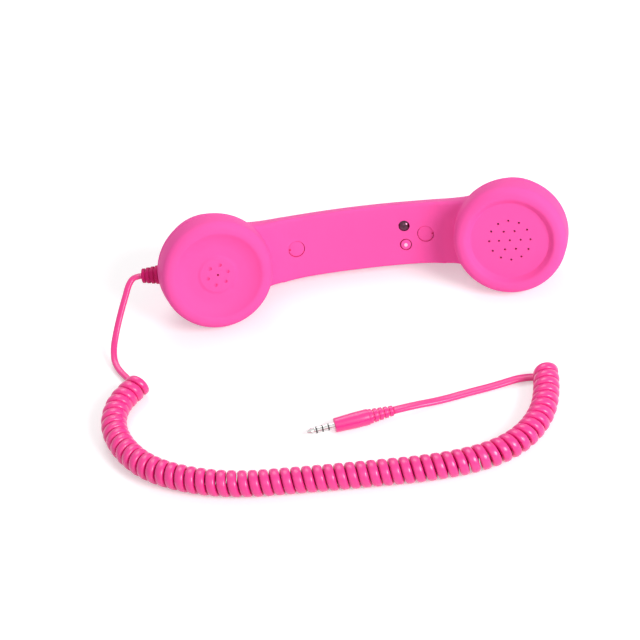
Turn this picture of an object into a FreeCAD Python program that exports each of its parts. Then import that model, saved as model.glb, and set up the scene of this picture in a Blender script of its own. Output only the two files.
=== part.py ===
"""A retro telephone handset with a curly cord and a four-pole jack plug, lying on its side.

Lengths are in millimetres. The handset is drawn in its own frame, with x along the handle, y across it
and z towards the listening and speaking faces, and is then leaned back and stood on the floor plane z = 0.
"""

import FreeCAD, Part
import math
import os
import Sketcher

Vector = FreeCAD.Vector
Placement = FreeCAD.Placement
Rotation = FreeCAD.Rotation

os.makedirs("parts", exist_ok=True)
doc = FreeCAD.newDocument("telephone_handset")
sheet = doc.addObject("Spreadsheet::Sheet", "dims")

DRIVING_DIMENSIONS = {
    # Handset layout: faces, lean on the floor and tilt of the cups towards each other.
    "face_span": 154.9,
    "lean": 18.0,
    "cup_tilt": 11.4,
    "wall": 2.2,
    "clearance": 0.15,
    "assembly_gap": 0.3,
    # Cups behind the caps: a short cylinder, a cone that the handset lies on, and a low dome.
    "cup_radius": 30.3,
    "cap_depth": 11.0,
    "barrel_depth": 14.0,
    "cone_depth": 33.0,
    "dome_depth": 43.0,
    # Handle: half widths, and depths of its inner and outer faces behind the cup faces.
    "handle_half_width": 17.8,
    "handle_front": 29.6,
    "handle_back": 51.0,
    "front_arch_radius": 215.0,
    "back_arch_radius": 210.0,
    "grip_reach": 40.0,
    "neck_reach": 49.0,
    "neck_half_width": 18.7,
    "neck_front": 20.8,
    "neck_back": 45.8,
    "root_reach": 56.0,
    "root_half_width": 19.6,
    "root_front": 17.0,
    "root_back": 44.6,
    "bury_reach": 66.0,
    "bury_half_width": 20.5,
    "bury_front": 15.2,
    "bury_back": 42.5,
    "heart_reach": 78.0,
    "heart_half_width": 19.0,
    "heart_front": 14.0,
    "heart_back": 35.0,
    "side_draft": 12.0,
    "front_corner": 1.8,
    "inner_corner": 0.8,
    "back_corner": 9.5,
    "parting_depth": 37.0,
    # Caps: rim, dish and sound holes.
    "rim_radius": 29.65,
    "rim_side_depth": 0.3,
    "rim_height": 3.0,
    "rim_crest_radius": 26.4,
    "rim_round": 3.4,
    "rim_inner_radius": 23.4,
    "rim_inner_height": 2.0,
    "rim_inner_round": 2.0,
    "dish_floor_radius": 20.5,
    "cap_face_thickness": 2.0,
    "collar_depth": 1.2,
    "collar_thickness": 1.8,
    "sound_hole": 1.2,
    "inner_ring_radius": 5.7,
    "outer_ring_radius": 10.85,
    "inner_ring_count": 6,
    "outer_ring_count": 12,
    "mouth_dish_radius": 22.4,
    "mouth_dish_height": 1.9,
    "mouth_dish_round": 28.0,
    "mouth_foot_radius": 10.8,
    "mouth_foot_depth": 0.7,
    "mouth_disc_radius": 10.1,
    "dimple": 1.7,
    "dimple_depth": 0.8,
    "dimple_ring_radius": 5.6,
    "dimple_count": 6,
    # Earpiece insert.
    "gauze_thickness": 0.3,
    "gauze_radius": 13.5,
    "speaker_radius": 18.0,
    "speaker_lip_radius": 15.5,
    "speaker_depth": 6.0,
    "speaker_skin": 0.8,
    "gasket_height": 1.2,
    "gasket_inner_radius": 15.0,
    "magnet_radius": 9.0,
    "magnet_depth": 4.0,
    "diaphragm_radius": 14.8,
    "diaphragm_drop": 2.2,
    "diaphragm_thickness": 0.3,
    # Mouthpiece insert.
    "capsule_radius": 4.85,
    "capsule_depth": 4.5,
    "boot_wall": 1.6,
    # Case screws under round covers on the inner face of the handle.
    "case_screw_reach": 35.2,
    "cover_diameter": 8.6,
    "cover_thickness": 1.4,
    "screw_shaft": 3.0,
    "screw_head": 5.6,
    "screw_head_height": 2.0,
    "screw_length": 11.0,
    "screw_socket": 2.4,
    "screw_recess": 3.4,
    "boss_diameter": 11.4,
    "rear_boss_diameter": 8.0,
    "slot_width": 0.9,
    "slot_depth": 0.8,
    # Two buttons and the board behind them.
    "button_reach": 24.1,
    "button_offset": 5.35,
    "button_travel": 0.6,
    "answer_diameter": 5.7,
    "answer_height": 1.5,
    "mute_diameter": 5.5,
    "mute_height": 0.6,
    "mute_hole": 6.6,
    "pip_diameter": 2.0,
    "pip_height": 0.35,
    "button_round": 0.5,
    "flange_extra": 0.9,
    "flange_thickness": 1.0,
    "plunger_diameter": 3.0,
    "plunger_length": 2.6,
    "plunger_play": 0.25,
    "switch_side": 6.0,
    "switch_height": 3.5,
    "board_length": 19.0,
    "board_width": 25.0,
    "board_thickness": 1.6,
    "board_offset": 4.6,
    "post_diameter": 4.6,
    "board_screw_shaft": 1.8,
    "board_screw_head": 3.4,
    "board_screw_head_height": 1.2,
    "board_screw_length": 4.6,
    "board_screw_inset": 2.6,
    # Steel weight on two pads in the back of the handle.
    "weight_length": 34.0,
    "weight_width": 14.0,
    "weight_height": 5.0,
    "weight_place": -12.0,
    "pad_diameter": 6.5,
    "pad_depth": 45.4,
    "pad_reach": 12.0,
    "weight_screw_shaft": 2.2,
    "weight_screw_head": 4.2,
    "weight_screw_head_height": 1.4,
    "weight_screw_bite": 2.6,
    # Strain relief of the cord on the speaking cup.
    "gland_depth": 18.0,
    "gland_neck": 6.4,
    "gland_flange": 8.4,
    "gland_flange_thickness": 1.6,
    "gland_base": 10.0,
    "gland_tip": 7.4,
    "gland_length": 9.0,
    "gland_ribs": 4,
    "gland_groove": 0.9,
    # Cord, curls and plug.
    "cord_diameter": 3.6,
    "curl_radius": 4.85,
    "curl_count": 60,
    "plug_turn": 191.0,
    "relief_length": 12.6,
    "relief_start": 5.4,
    "relief_end": 7.8,
    "relief_ribs": 5,
    "relief_groove": 0.55,
    "grip_length": 17.6,
    "grip_start": 8.2,
    "grip_middle": 8.2,
    "grip_end": 7.2,
    "grip_middle_at": 6.6,
    "pin_diameter": 3.5,
    "pin_length": 14.0,
    "pin_core": 1.2,
    "insulator_length": 0.7,
    "tip_length": 4.3,
    "ring_length": 2.4,
    "tip_waist": 2.6,
    "tip_nose": 1.3,
    "tip_shoulder_at": 0.43,
    "tip_waist_at": 1.1,
    "tip_swell_at": 2.4,
    "wire_diameter": 1.1,
}

for row, (name, number) in enumerate(DRIVING_DIMENSIONS.items(), start=1):
    sheet.set(f"A{row}", name)
    sheet.set(f"B{row}", str(number))
    sheet.setAlias(f"B{row}", name)
doc.recompute()


class Size:
    """A number together with the sheet expression that gives it."""

    def __init__(self, value, text):
        self.value = value
        self.text = text

    def joined(self, other, sign, value):
        return Size(value, f"({self.text} {sign} {as_size(other).text})")

    def __add__(self, other):
        return self.joined(other, "+", self.value + as_size(other).value)

    def __sub__(self, other):
        return self.joined(other, "-", self.value - as_size(other).value)

    def __mul__(self, other):
        return self.joined(other, "*", self.value * as_size(other).value)

    def __truediv__(self, other):
        return self.joined(other, "/", self.value / as_size(other).value)

    def __neg__(self):
        return Size(-self.value, f"(0 - {self.text})")


def as_size(number):
    return number if isinstance(number, Size) else Size(float(number), repr(float(number)))


def size(name):
    return Size(float(sheet.get(name)), f"{sheet.Name}.{name}")


def value(name):
    return float(sheet.get(name))


def plane_of(body, role):
    return next(f for f in body.Origin.OriginFeatures if f.Role == role)


def new_sketch(body, role, name):
    sketch = body.newObject("Sketcher::SketchObject", name)
    sketch.AttachmentSupport = [(plane_of(body, role), "")]
    sketch.MapMode = "FlatFace"
    return sketch


def bound(sketch, kind, places, length):
    """A dimension of the sketch that follows a size of the sheet."""
    index = sketch.addConstraint(Sketcher.Constraint(kind, *places, as_size(length).value))
    if isinstance(length, Size):
        sketch.setExpression(f"Constraints[{index}]", length.text)


def fix_point(sketch, geometry, end, across, up):
    """Holds a sketch point at its two coordinates, on an axis where a coordinate is zero."""
    for kind, axis, length in (("DistanceX", -2, across), ("DistanceY", -1, up)):
        if abs(as_size(length).value) < 1e-9:
            sketch.addConstraint(Sketcher.Constraint("PointOnObject", geometry, end, axis))
        else:
            bound(sketch, kind, (-1, 1, geometry, end), length)


def bulge_arc(first, last, radius):
    """An anticlockwise arc of under half a turn, left of the chord for a positive radius or right of it."""
    chord = last - first
    half = chord.Length / 2
    side = Vector(-chord.y, chord.x, 0).normalize() * math.copysign(1, radius)
    rise = abs(radius) - math.sqrt(radius**2 - half**2)
    middle = first + chord * 0.5 + side * rise
    return Part.Arc(last, middle, first) if radius > 0 else Part.Arc(first, middle, last)


def closed_outline(sketch, corners):
    """Corners as (across, up) or (across, up, radius), where radius curves the stretch to the next corner."""
    points = [Vector(as_size(c[0]).value, as_size(c[1]).value, 0) for c in corners]
    ends = []
    for index, corner in enumerate(corners):
        start = points[index]
        stop = points[(index + 1) % len(points)]
        if len(corner) == 3:
            radius = as_size(corner[2]).value
            place = sketch.addGeometry(bulge_arc(start, stop, radius), False)
            ends.append((place, 2, 1) if radius > 0 else (place, 1, 2))
        else:
            ends.append((sketch.addGeometry(Part.LineSegment(start, stop), False), 1, 2))
    for index, (place, first, last) in enumerate(ends):
        following = ends[(index + 1) % len(ends)]
        sketch.addConstraint(Sketcher.Constraint("Coincident", place, last, following[0], following[1]))
    for (place, first, last), corner in zip(ends, corners):
        fix_point(sketch, place, first, corner[0], corner[1])
        if len(corner) == 3:
            bound(sketch, "Radius", (place,), abs_size(corner[2]))


def abs_size(length):
    length = as_size(length)
    return -length if length.value < 0 else length


def turned_body(label, corners):
    """A body turned about its z axis from an outline of radii and heights."""
    body = doc.addObject("PartDesign::Body", label)
    sketch = new_sketch(body, "XZ_Plane", f"{label}_outline")
    closed_outline(sketch, corners)
    turn = body.newObject("PartDesign::Revolution", f"{label}_turn")
    turn.Profile = sketch
    turn.ReferenceAxis = (sketch, ["V_Axis"])
    turn.Angle = 360
    doc.recompute()
    return body


def round_pocket(body, name, across, diameter, depth=None, height=0.0, count=1):
    """A round hole, or a ring of them about the z axis, from a height down to a depth or right through."""
    sketch = new_sketch(body, "XY_Plane", f"{name}_circle")
    if as_size(height).value:
        sketch.setExpression("AttachmentOffset.Base.z", as_size(height).text)
        sketch.AttachmentOffset = Placement(Vector(0, 0, as_size(height).value), Rotation())
    centre = Vector(as_size(across).value, 0, 0)
    circle = sketch.addGeometry(Part.Circle(centre, Vector(0, 0, 1), as_size(diameter).value / 2), False)
    fix_point(sketch, circle, 3, across, 0)
    bound(sketch, "Diameter", (circle,), diameter)
    before = body.Shape.Volume
    pocket = body.newObject("PartDesign::Pocket", name)
    pocket.Profile = sketch
    if depth is None:
        pocket.Type = "ThroughAll"
        pocket.Midplane = True
    else:
        pocket.Length = as_size(depth).value
        pocket.setExpression("Length", as_size(depth).text)
    doc.recompute()
    if count > 1:
        pattern = body.newObject("PartDesign::PolarPattern", f"{name}_ring")
        pattern.Originals = [pocket]
        pattern.Axis = (sketch, ["N_Axis"])
        pattern.Angle = 360
        pattern.Occurrences = count
        body.Tip = pattern
        doc.recompute()
    if body.Shape.Volume >= before - 1e-6:
        raise ValueError(f"{name} cut nothing")


def solid_node(label, shape):
    node = doc.addObject("Part::Feature", label)
    node.Shape = shape
    return node


def cylinder(radius, length, base, direction=Vector(0, 0, 1)):
    return Part.makeCylinder(radius, length, base, direction)


nodes = {}
handset_places = {}


def keep(label, node, place):
    """Keeps a sub-part as a node, with its place in the handset's own frame."""
    node.Label = label
    nodes[label] = node
    handset_places[label] = place
    return node


def keep_on_floor(label, node, place=Placement()):
    """Keeps a sub-part of the cord as a node, with its place in the part's frame."""
    node.Label = label
    node.Placement = place
    nodes[label] = node
    return node


# Outer and inner forms of the handset

wall = value("wall")
tilt = value("cup_tilt")
span = value("face_span")
cap_depth = value("cap_depth")
lean = math.radians(value("lean"))
cone_slope = math.tan(math.asin(math.cos(math.radians(tilt)) * math.sin(lean)))
FAR = 200.0
RIM_CUT = 1.0
ARCH_STEPS = 4

ear_cup = Placement(Vector(span / 2, 0, 0), Rotation(Vector(0, 1, 0), -tilt))
mouth_cup = Placement(Vector(-span / 2, 0, 0), Rotation(Vector(0, 1, 0), tilt))


def rounded_corner(before, corner, after, radius):
    """The arc that rounds a corner between its two neighbours."""
    back = (before - corner).normalize()
    ahead = (after - corner).normalize()
    half_turn = back.getAngle(ahead) / 2
    inward = (back + ahead).normalize()
    trim = radius / math.tan(half_turn)
    middle = corner + inward * (radius / math.sin(half_turn) - radius)
    return Part.Arc(corner + back * trim, middle, corner + ahead * trim).toShape()


def handle_section(reach, half_width, front, back, inset):
    """A rounded section across the handle, broad at the inner face and narrower at the full back."""
    draft = math.radians(value("side_draft"))
    near = value("inner_corner" if inset else "front_corner")
    far = value("back_corner") - inset

    def half_at(depth):
        return half_width - depth * math.tan(draft) - inset / math.cos(draft)

    half_front = half_at(inset)
    half_back = half_at(back - front - inset)
    corners = [
        (Vector(reach, half_front, -front - inset), near),
        (Vector(reach, -half_front, -front - inset), near),
        (Vector(reach, -half_back, -back + inset), far),
        (Vector(reach, half_back, -back + inset), far),
    ]
    arcs = [
        rounded_corner(corners[index - 1][0], place, corners[(index + 1) % len(corners)][0], radius)
        for index, (place, radius) in enumerate(corners)
    ]
    edges = []
    for index, arc in enumerate(arcs):
        following = arcs[(index + 1) % len(arcs)]
        edges.append(arc)
        edges.append(Part.makeLine(arc.lastVertex(True).Point, following.firstVertex(True).Point))
    return Part.Wire(edges)


def front_depth(reach):
    return value("handle_front") - reach**2 / (2 * value("front_arch_radius"))


def back_depth(reach):
    return value("handle_back") - reach**2 / (2 * value("back_arch_radius"))


def handle_form(inset):
    half = value("handle_half_width")
    grip = value("grip_reach")
    arch_reaches = [grip * step / ARCH_STEPS for step in range(ARCH_STEPS + 1)]
    stations = [(reach, half, front_depth(reach), back_depth(reach)) for reach in arch_reaches]
    for part in ("neck", "root", "bury", "heart"):
        stations.append(
            tuple(value(f"{part}_{what}") for what in ("reach", "half_width", "front", "back"))
        )
    mirrored = [(-s[0], *s[1:]) for s in reversed(stations[1:])]
    wires = [handle_section(*s, inset) for s in mirrored + stations]
    return Part.makeLoft(wires, True, False)


def cup_form(place, inset):
    """The cup behind its cap, turned about its own axis; inset forms reach forward through the rim."""
    radius = value("cup_radius") - inset
    cone_end = radius - (value("cone_depth") - value("barrel_depth")) * cone_slope
    top = -cap_depth + (RIM_CUT if inset else 0.0)
    corner = Vector(cone_end, 0, -value("cone_depth"))
    bottom = Vector(0, 0, -value("dome_depth") + inset)
    spread = corner.x**2
    drop = corner.z - bottom.z
    dome_radius = (spread + drop**2) / (2 * drop)
    middle_angle = math.asin(corner.x / dome_radius) / 2
    middle = bottom + Vector(
        dome_radius * math.sin(middle_angle), 0, dome_radius * (1 - math.cos(middle_angle))
    )
    points = [Vector(0, 0, top), Vector(radius, 0, top), Vector(radius, 0, -value("barrel_depth")), corner]
    edges = [Part.makeLine(a, b) for a, b in zip(points, points[1:])]
    edges.append(Part.Arc(corner, middle, bottom).toShape())
    edges.append(Part.makeLine(bottom, points[0]))
    solid = Part.Face(Part.Wire(edges)).revolve(Vector(0, 0, 0), Vector(0, 0, 1), 360)
    solid = Part.Solid(solid) if solid.ShapeType != "Solid" else solid
    solid.Placement = place
    return solid


def cap_space(place):
    """Everything in front of a cup's rim, which the cap takes up."""
    space = cylinder(value("cup_radius") + wall, FAR, Vector(0, 0, -cap_depth))
    space.Placement = place
    return space


outer_form = handle_form(0.0).fuse([cup_form(ear_cup, 0.0), cup_form(mouth_cup, 0.0)])
outer_form = outer_form.cut([cap_space(ear_cup), cap_space(mouth_cup)])
inner_form = handle_form(wall).fuse([cup_form(ear_cup, wall), cup_form(mouth_cup, wall)])
parting_box = Part.makeBox(2 * FAR, FAR, FAR, Vector(-FAR, -FAR / 2, -value("parting_depth")))


def face_place(reach, across=0.0):
    """A frame on the inner face of the handle, with z square to the arched face."""
    turn = math.degrees(math.atan(reach / value("front_arch_radius")))
    base = Vector(reach, across, -front_depth(reach))
    return Placement(base, Rotation(Vector(0, 1, 0), -turn))


def drilled(place, radius, top, bottom, across=(0.0, 0.0)):
    """A round tool along the z axis of a frame, between two heights."""
    tool = cylinder(radius, top - bottom, Vector(across[0], across[1], bottom))
    tool.Placement = place
    return tool


# Front and back shells of the handset, split along the sides of the handle

clearance = value("clearance")
gap = value("assembly_gap")
screw_places = [face_place(-value("case_screw_reach")), face_place(value("case_screw_reach"))]
button_place = face_place(value("button_reach"))
button_offset = value("button_offset")
screw_seat = value("screw_recess") + value("screw_head_height")
switch_top = wall + gap + value("flange_thickness") + value("button_travel") + gap
board_top = switch_top + value("switch_height")
board_middle = -value("board_offset")
post_along = board_middle - value("board_length") / 2 + value("board_screw_inset")
post_across = value("board_width") / 2 - value("board_screw_inset")
post_spots = [(post_along, post_across), (post_along, -post_across)]
pad_spots = [value("weight_place") + sign * value("pad_reach") for sign in (-1, 1)]
gland_tilt = math.degrees(math.atan(cone_slope))
gland_radius = value("cup_radius") - (value("gland_depth") - value("barrel_depth")) * cone_slope
gland_place = mouth_cup.multiply(
    Placement(
        Vector(-gland_radius, 0, -value("gland_depth")), Rotation(Vector(0, 1, 0), -90 - gland_tilt)
    )
)
DEEP = 30.0

front_bosses = [drilled(p, value("boss_diameter") / 2, DEEP, -DEEP) for p in screw_places]
front_shell = outer_form.cut(inner_form).fuse([b.common(outer_form) for b in front_bosses])
front_shell = front_shell.common(parting_box)
posts = [drilled(button_place, value("post_diameter") / 2, -wall / 2, -board_top, s) for s in post_spots]
front_shell = front_shell.fuse(posts)
front_cuts = []
for place in screw_places:
    cover_seat = -value("cover_thickness")
    front_cuts.append(drilled(place, value("cover_diameter") / 2 + clearance, DEEP, cover_seat))
    front_cuts.append(drilled(place, value("screw_head") / 2 + gap, DEEP, -screw_seat))
    front_cuts.append(drilled(place, value("screw_shaft") / 2 + clearance, DEEP, -DEEP))
answer_hole = value("answer_diameter") / 2 + clearance
front_cuts.append(drilled(button_place, answer_hole, DEEP, -wall - gap, (0, button_offset)))
front_cuts.append(drilled(button_place, value("mute_hole") / 2, DEEP, -wall - gap, (0, -button_offset)))
pilot = value("board_screw_shaft") / 2 + clearance
pilot_bottom = -board_top + value("board_screw_length") - value("board_thickness") + gap
front_cuts += [drilled(button_place, pilot, pilot_bottom, -board_top - gap, s) for s in post_spots]
front_cuts.append(drilled(gland_place, value("gland_neck") / 2 + clearance, DEEP, -2 * wall))
front_shell = front_shell.cut(front_cuts).removeSplitter()
keep("front_shell", solid_node("front_shell", front_shell), Placement())

rear_bosses = [drilled(p, value("rear_boss_diameter") / 2, 0, -DEEP).common(outer_form) for p in screw_places]
pads = []
for reach in pad_spots:
    pad = cylinder(value("pad_diameter") / 2, DEEP, Vector(reach, 0, -value("pad_depth") - DEEP))
    pads.append(pad.common(outer_form))
back_shell = outer_form.cut(inner_form).fuse(rear_bosses + pads).cut(parting_box)
rear_cuts = []
for place in screw_places:
    depth = screw_seat + value("screw_length") + gap
    rear_cuts.append(drilled(place, value("screw_shaft") / 2 + clearance, 0, -depth))
weight_pilot = value("weight_screw_shaft") / 2 + clearance
bite = value("weight_screw_bite") + gap
for reach in pad_spots:
    rear_cuts.append(cylinder(weight_pilot, bite, Vector(reach, 0, -value("pad_depth") - bite)))
back_shell = back_shell.cut(rear_cuts).removeSplitter()
keep("back_shell", solid_node("back_shell", back_shell), Placement())

# Caps on the two cups, each with a collar that plugs into its cup

collar_radius = size("cup_radius") - size("wall") - size("clearance")
collar_inside = collar_radius - size("collar_thickness")
collar_bottom = -(size("cap_depth") + size("collar_depth"))


def cap_outline(dish, underside, underside_edge):
    """Half section of a cap: its dish from the axis outwards, its rim and side, its collar and its inside."""
    return dish + [
        (size("rim_crest_radius"), size("rim_height"), size("rim_round")),
        (size("rim_radius"), -size("rim_side_depth")),
        (size("cup_radius"), -size("cap_depth")),
        (collar_radius, -size("cap_depth")),
        (collar_radius, collar_bottom),
        (collar_inside, collar_bottom),
        (collar_inside, -size("rim_height")),
        (size("rim_inner_radius") + size("wall") / 2, size("rim_height") - size("wall") * 1.5),
        (underside_edge, underside),
        (0, underside),
    ]


ear_dish = [
    (0, 0),
    (size("dish_floor_radius"), 0),
    (size("rim_inner_radius"), size("rim_inner_height"), size("rim_inner_round")),
]
ear_underside = -size("cap_face_thickness")
earpiece_cap = turned_body("earpiece_cap", cap_outline(ear_dish, ear_underside, size("dish_floor_radius")))
round_pocket(earpiece_cap, "ear_centre_hole", 0, size("sound_hole"))
for ring in ("inner", "outer"):
    round_pocket(
        earpiece_cap,
        f"ear_{ring}_hole",
        size(f"{ring}_ring_radius"),
        size("sound_hole"),
        count=int(value(f"{ring}_ring_count")),
    )
keep("earpiece_cap", earpiece_cap, ear_cup)

mouth_dish = [
    (0, 0),
    (size("mouth_disc_radius"), 0),
    (size("mouth_foot_radius"), -size("mouth_foot_depth"), -size("mouth_dish_round")),
    (size("mouth_dish_radius"), size("mouth_dish_height"), size("rim_inner_round") * 2),
]
mouth_underside = -(size("cap_face_thickness") + size("mouth_foot_depth"))
mouthpiece_cap = turned_body(
    "mouthpiece_cap", cap_outline(mouth_dish, mouth_underside, size("mouth_dish_radius") - size("wall"))
)
round_pocket(mouthpiece_cap, "mouth_centre_hole", 0, size("sound_hole"))
round_pocket(
    mouthpiece_cap,
    "mouth_dimple",
    size("dimple_ring_radius"),
    size("dimple"),
    size("dimple_depth"),
    count=int(value("dimple_count")),
)
keep("mouthpiece_cap", mouthpiece_cap, mouth_cup)

# Sound parts behind the caps


def ring_corners(inside, outside, top, bottom):
    return [(inside, top), (outside, top), (outside, bottom), (inside, bottom)]


ear_gauze = turned_body(
    "earpiece_gauze",
    ring_corners(0, size("gauze_radius"), ear_underside, ear_underside - size("gauze_thickness")),
)
keep("earpiece_gauze", ear_gauze, ear_cup)
speaker_top = ear_underside - size("gasket_height")
speaker_gasket = turned_body(
    "speaker_gasket",
    ring_corners(size("gasket_inner_radius"), size("speaker_radius"), ear_underside, speaker_top),
)
keep("speaker_gasket", speaker_gasket, ear_cup)
speaker_floor = speaker_top - size("speaker_depth")
speaker_frame = turned_body(
    "speaker_frame",
    [
        (size("speaker_lip_radius"), speaker_top),
        (size("speaker_radius"), speaker_top),
        (size("speaker_radius"), speaker_top - size("speaker_depth") / 3),
        (size("magnet_radius") + size("speaker_skin") * 3, speaker_floor),
        (0, speaker_floor),
        (0, speaker_floor + size("speaker_skin")),
        (size("magnet_radius") + size("speaker_skin") * 2, speaker_floor + size("speaker_skin")),
        (size("speaker_lip_radius"), speaker_top - size("speaker_depth") / 3),
    ],
)
keep("speaker_frame", speaker_frame, ear_cup)
speaker_magnet = turned_body(
    "speaker_magnet",
    ring_corners(0, size("magnet_radius"), speaker_floor, speaker_floor - size("magnet_depth")),
)
keep("speaker_magnet", speaker_magnet, ear_cup)
cone_edge = size("speaker_lip_radius") - size("clearance")
cone_top = speaker_top - size("diaphragm_thickness")
cone_low = cone_top - size("diaphragm_drop")
speaker_cone = turned_body(
    "speaker_cone",
    [
        (0, cone_low),
        (size("magnet_radius") / 2, cone_low),
        (size("diaphragm_radius"), cone_top),
        (cone_edge, cone_top),
        (cone_edge, cone_top - size("diaphragm_thickness")),
        (size("diaphragm_radius"), cone_top - size("diaphragm_thickness")),
        (size("magnet_radius") / 2, cone_low - size("diaphragm_thickness")),
        (0, cone_low - size("diaphragm_thickness")),
    ],
)
keep("speaker_cone", speaker_cone, ear_cup)

mouth_gauze = turned_body(
    "mouthpiece_gauze",
    ring_corners(
        0, size("capsule_radius"), mouth_underside, mouth_underside - size("gauze_thickness")
    ),
)
keep("mouthpiece_gauze", mouth_gauze, mouth_cup)
capsule_top = mouth_underside - size("gauze_thickness")
capsule_bottom = capsule_top - size("capsule_depth")
microphone_capsule = turned_body(
    "microphone_capsule", ring_corners(0, size("capsule_radius"), capsule_top, capsule_bottom)
)
keep("microphone_capsule", microphone_capsule, mouth_cup)
boot_inside = size("capsule_radius") + size("clearance")
boot_outside = boot_inside + size("boot_wall")
boot_bottom = capsule_bottom - size("boot_wall")
microphone_boot = turned_body(
    "microphone_boot",
    [
        (boot_inside, mouth_underside),
        (boot_outside, mouth_underside),
        (boot_outside, boot_bottom),
        (0, boot_bottom),
        (0, capsule_bottom),
        (boot_inside, capsule_bottom),
    ],
)
keep("microphone_boot", microphone_boot, mouth_cup)

# Case screws and their round covers


def screw_body(label, shaft, head, head_height, length):
    """A pan-head screw: its head stands on z = 0 and its shaft points down."""
    return turned_body(
        label,
        [
            (0, size(head_height)),
            (size(head) / 2, size(head_height)),
            (size(head) / 2, 0),
            (size(shaft) / 2, 0),
            (size(shaft) / 2, -size(length) + size(shaft) / 2),
            (0, -size(length)),
        ],
    )


def copies(label, body, places):
    """One node that holds a copy of a body at each place."""
    shapes = []
    for place in places:
        shape = body.Shape.copy()
        shape.Placement = place
        shapes.append(shape)
    return keep(label, solid_node(label, Part.makeCompound(shapes)), Placement())


def shifted(place, across, along, up):
    return place.multiply(Placement(Vector(across, along, up), Rotation()))


case_screw = screw_body("case_screw", "screw_shaft", "screw_head", "screw_head_height", "screw_length")
round_pocket(
    case_screw, "case_screw_socket", 0, size("screw_socket"), size("slot_depth"), size("screw_head_height")
)
copies("case_screws", case_screw, [shifted(p, 0, 0, -screw_seat) for p in screw_places])

for label, place, outward in (
    ("screw_cover_mouth_end", screw_places[0], -1),
    ("screw_cover_ear_end", screw_places[1], 1),
):
    cover = turned_body(label, ring_corners(0, size("cover_diameter") / 2, 0, -size("cover_thickness")))
    notch_across = size("cover_diameter") / 2 * outward
    round_pocket(cover, f"{label}_notch", notch_across, size("slot_width") * 2, size("slot_depth"))
    keep(label, cover, place)

# Buttons, their plungers and switches, and the board

flange_top = -(size("wall") + size("assembly_gap"))
flange_bottom = flange_top - size("flange_thickness")
answer_shoulder = size("button_round") / 2
answer_rise = size("answer_height") - answer_shoulder
answer_half = size("answer_diameter") / 2
answer_crown = (answer_half * answer_half + answer_rise * answer_rise) / (answer_rise * 2)
answer_button = turned_body(
    "answer_button",
    [
        (0, size("answer_height"), answer_crown),
        (answer_half, answer_shoulder),
        (answer_half, flange_top),
        (answer_half + size("flange_extra"), flange_top),
        (answer_half + size("flange_extra"), flange_bottom),
        (0, flange_bottom),
    ],
)
mute_half = size("mute_diameter") / 2
mute_edge = mute_half - size("button_round")
mute_flange = size("mute_hole") / 2 + size("flange_extra") / 2
mute_button = turned_body(
    "mute_button",
    [
        (0, size("mute_height")),
        (mute_edge, size("mute_height"), size("button_round")),
        (mute_half, size("mute_height") - size("button_round")),
        (mute_half, flange_top),
        (mute_flange, flange_top),
        (mute_flange, flange_bottom),
        (0, flange_bottom),
    ],
)
mute_pip = turned_body(
    "mute_pip",
    ring_corners(0, size("pip_diameter") / 2, size("mute_height") + size("pip_height"), size("mute_height")),
)
answer_place = shifted(button_place, 0, button_offset, 0)
mute_place = shifted(button_place, 0, -button_offset, 0)
keep("answer_button", answer_button, answer_place)
keep("mute_button", mute_button, mute_place)
keep("mute_pip", mute_pip, mute_place)

plunger_bottom = flange_bottom - size("plunger_length")
switch_bore_depth = size("plunger_length") - size("button_travel") - size("assembly_gap")
for kind, place in (("answer", answer_place), ("mute", mute_place)):
    plunger = turned_body(
        f"{kind}_plunger", ring_corners(0, size("plunger_diameter") / 2, flange_bottom, plunger_bottom)
    )
    keep(f"{kind}_plunger", plunger, place)
    case = doc.addObject("Part::Box", f"{kind}_switch_case")
    for edge in ("Length", "Width"):
        case.setExpression(edge, size("switch_side").text)
    case.setExpression("Height", size("switch_height").text)
    case.Placement = Placement(
        Vector(-value("switch_side") / 2, -value("switch_side") / 2, -board_top), Rotation()
    )
    bore = doc.addObject("Part::Cylinder", f"{kind}_switch_bore")
    bore.setExpression("Radius", (size("plunger_diameter") / 2 + size("plunger_play")).text)
    bore.setExpression("Height", (switch_bore_depth + size("button_travel") * 2 + size("assembly_gap")).text)
    bore_bottom = (plunger_bottom - size("button_travel") - size("assembly_gap")).value
    bore.Placement = Placement(Vector(0, 0, bore_bottom), Rotation())
    switch = doc.addObject("Part::Cut", f"{kind}_switch")
    switch.Base = case
    switch.Tool = bore
    keep(f"{kind}_switch", switch, place)

board_blank = doc.addObject("Part::Box", "board_blank")
for edge, name in (("Length", "board_length"), ("Width", "board_width"), ("Height", "board_thickness")):
    board_blank.setExpression(edge, size(name).text)
board_bottom = -board_top - value("board_thickness")
board_blank.Placement = Placement(
    Vector(board_middle - value("board_length") / 2, -value("board_width") / 2, board_bottom), Rotation()
)
board_holes = []
for index, (along, across) in enumerate(post_spots):
    hole = doc.addObject("Part::Cylinder", f"board_hole_{index}")
    hole.setExpression("Radius", (size("board_screw_shaft") / 2 + size("clearance")).text)
    hole.setExpression("Height", (size("board_thickness") * 2).text)
    hole.Placement = Placement(Vector(along, across, board_bottom - value("board_thickness") / 2), Rotation())
    board_holes.append(hole)
hole_pair = doc.addObject("Part::MultiFuse", "board_hole_pair")
hole_pair.Shapes = board_holes
circuit_board = doc.addObject("Part::Cut", "circuit_board")
circuit_board.Base = board_blank
circuit_board.Tool = hole_pair
keep("circuit_board", circuit_board, button_place)

board_screw = screw_body(
    "board_screw", "board_screw_shaft", "board_screw_head", "board_screw_head_height", "board_screw_length"
)
upside_down = Rotation(Vector(1, 0, 0), 180)
board_screw_places = [
    button_place.multiply(Placement(Vector(along, across, board_bottom), upside_down))
    for along, across in post_spots
]
copies("board_screws", board_screw, board_screw_places)

# Steel weight on its pads

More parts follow.
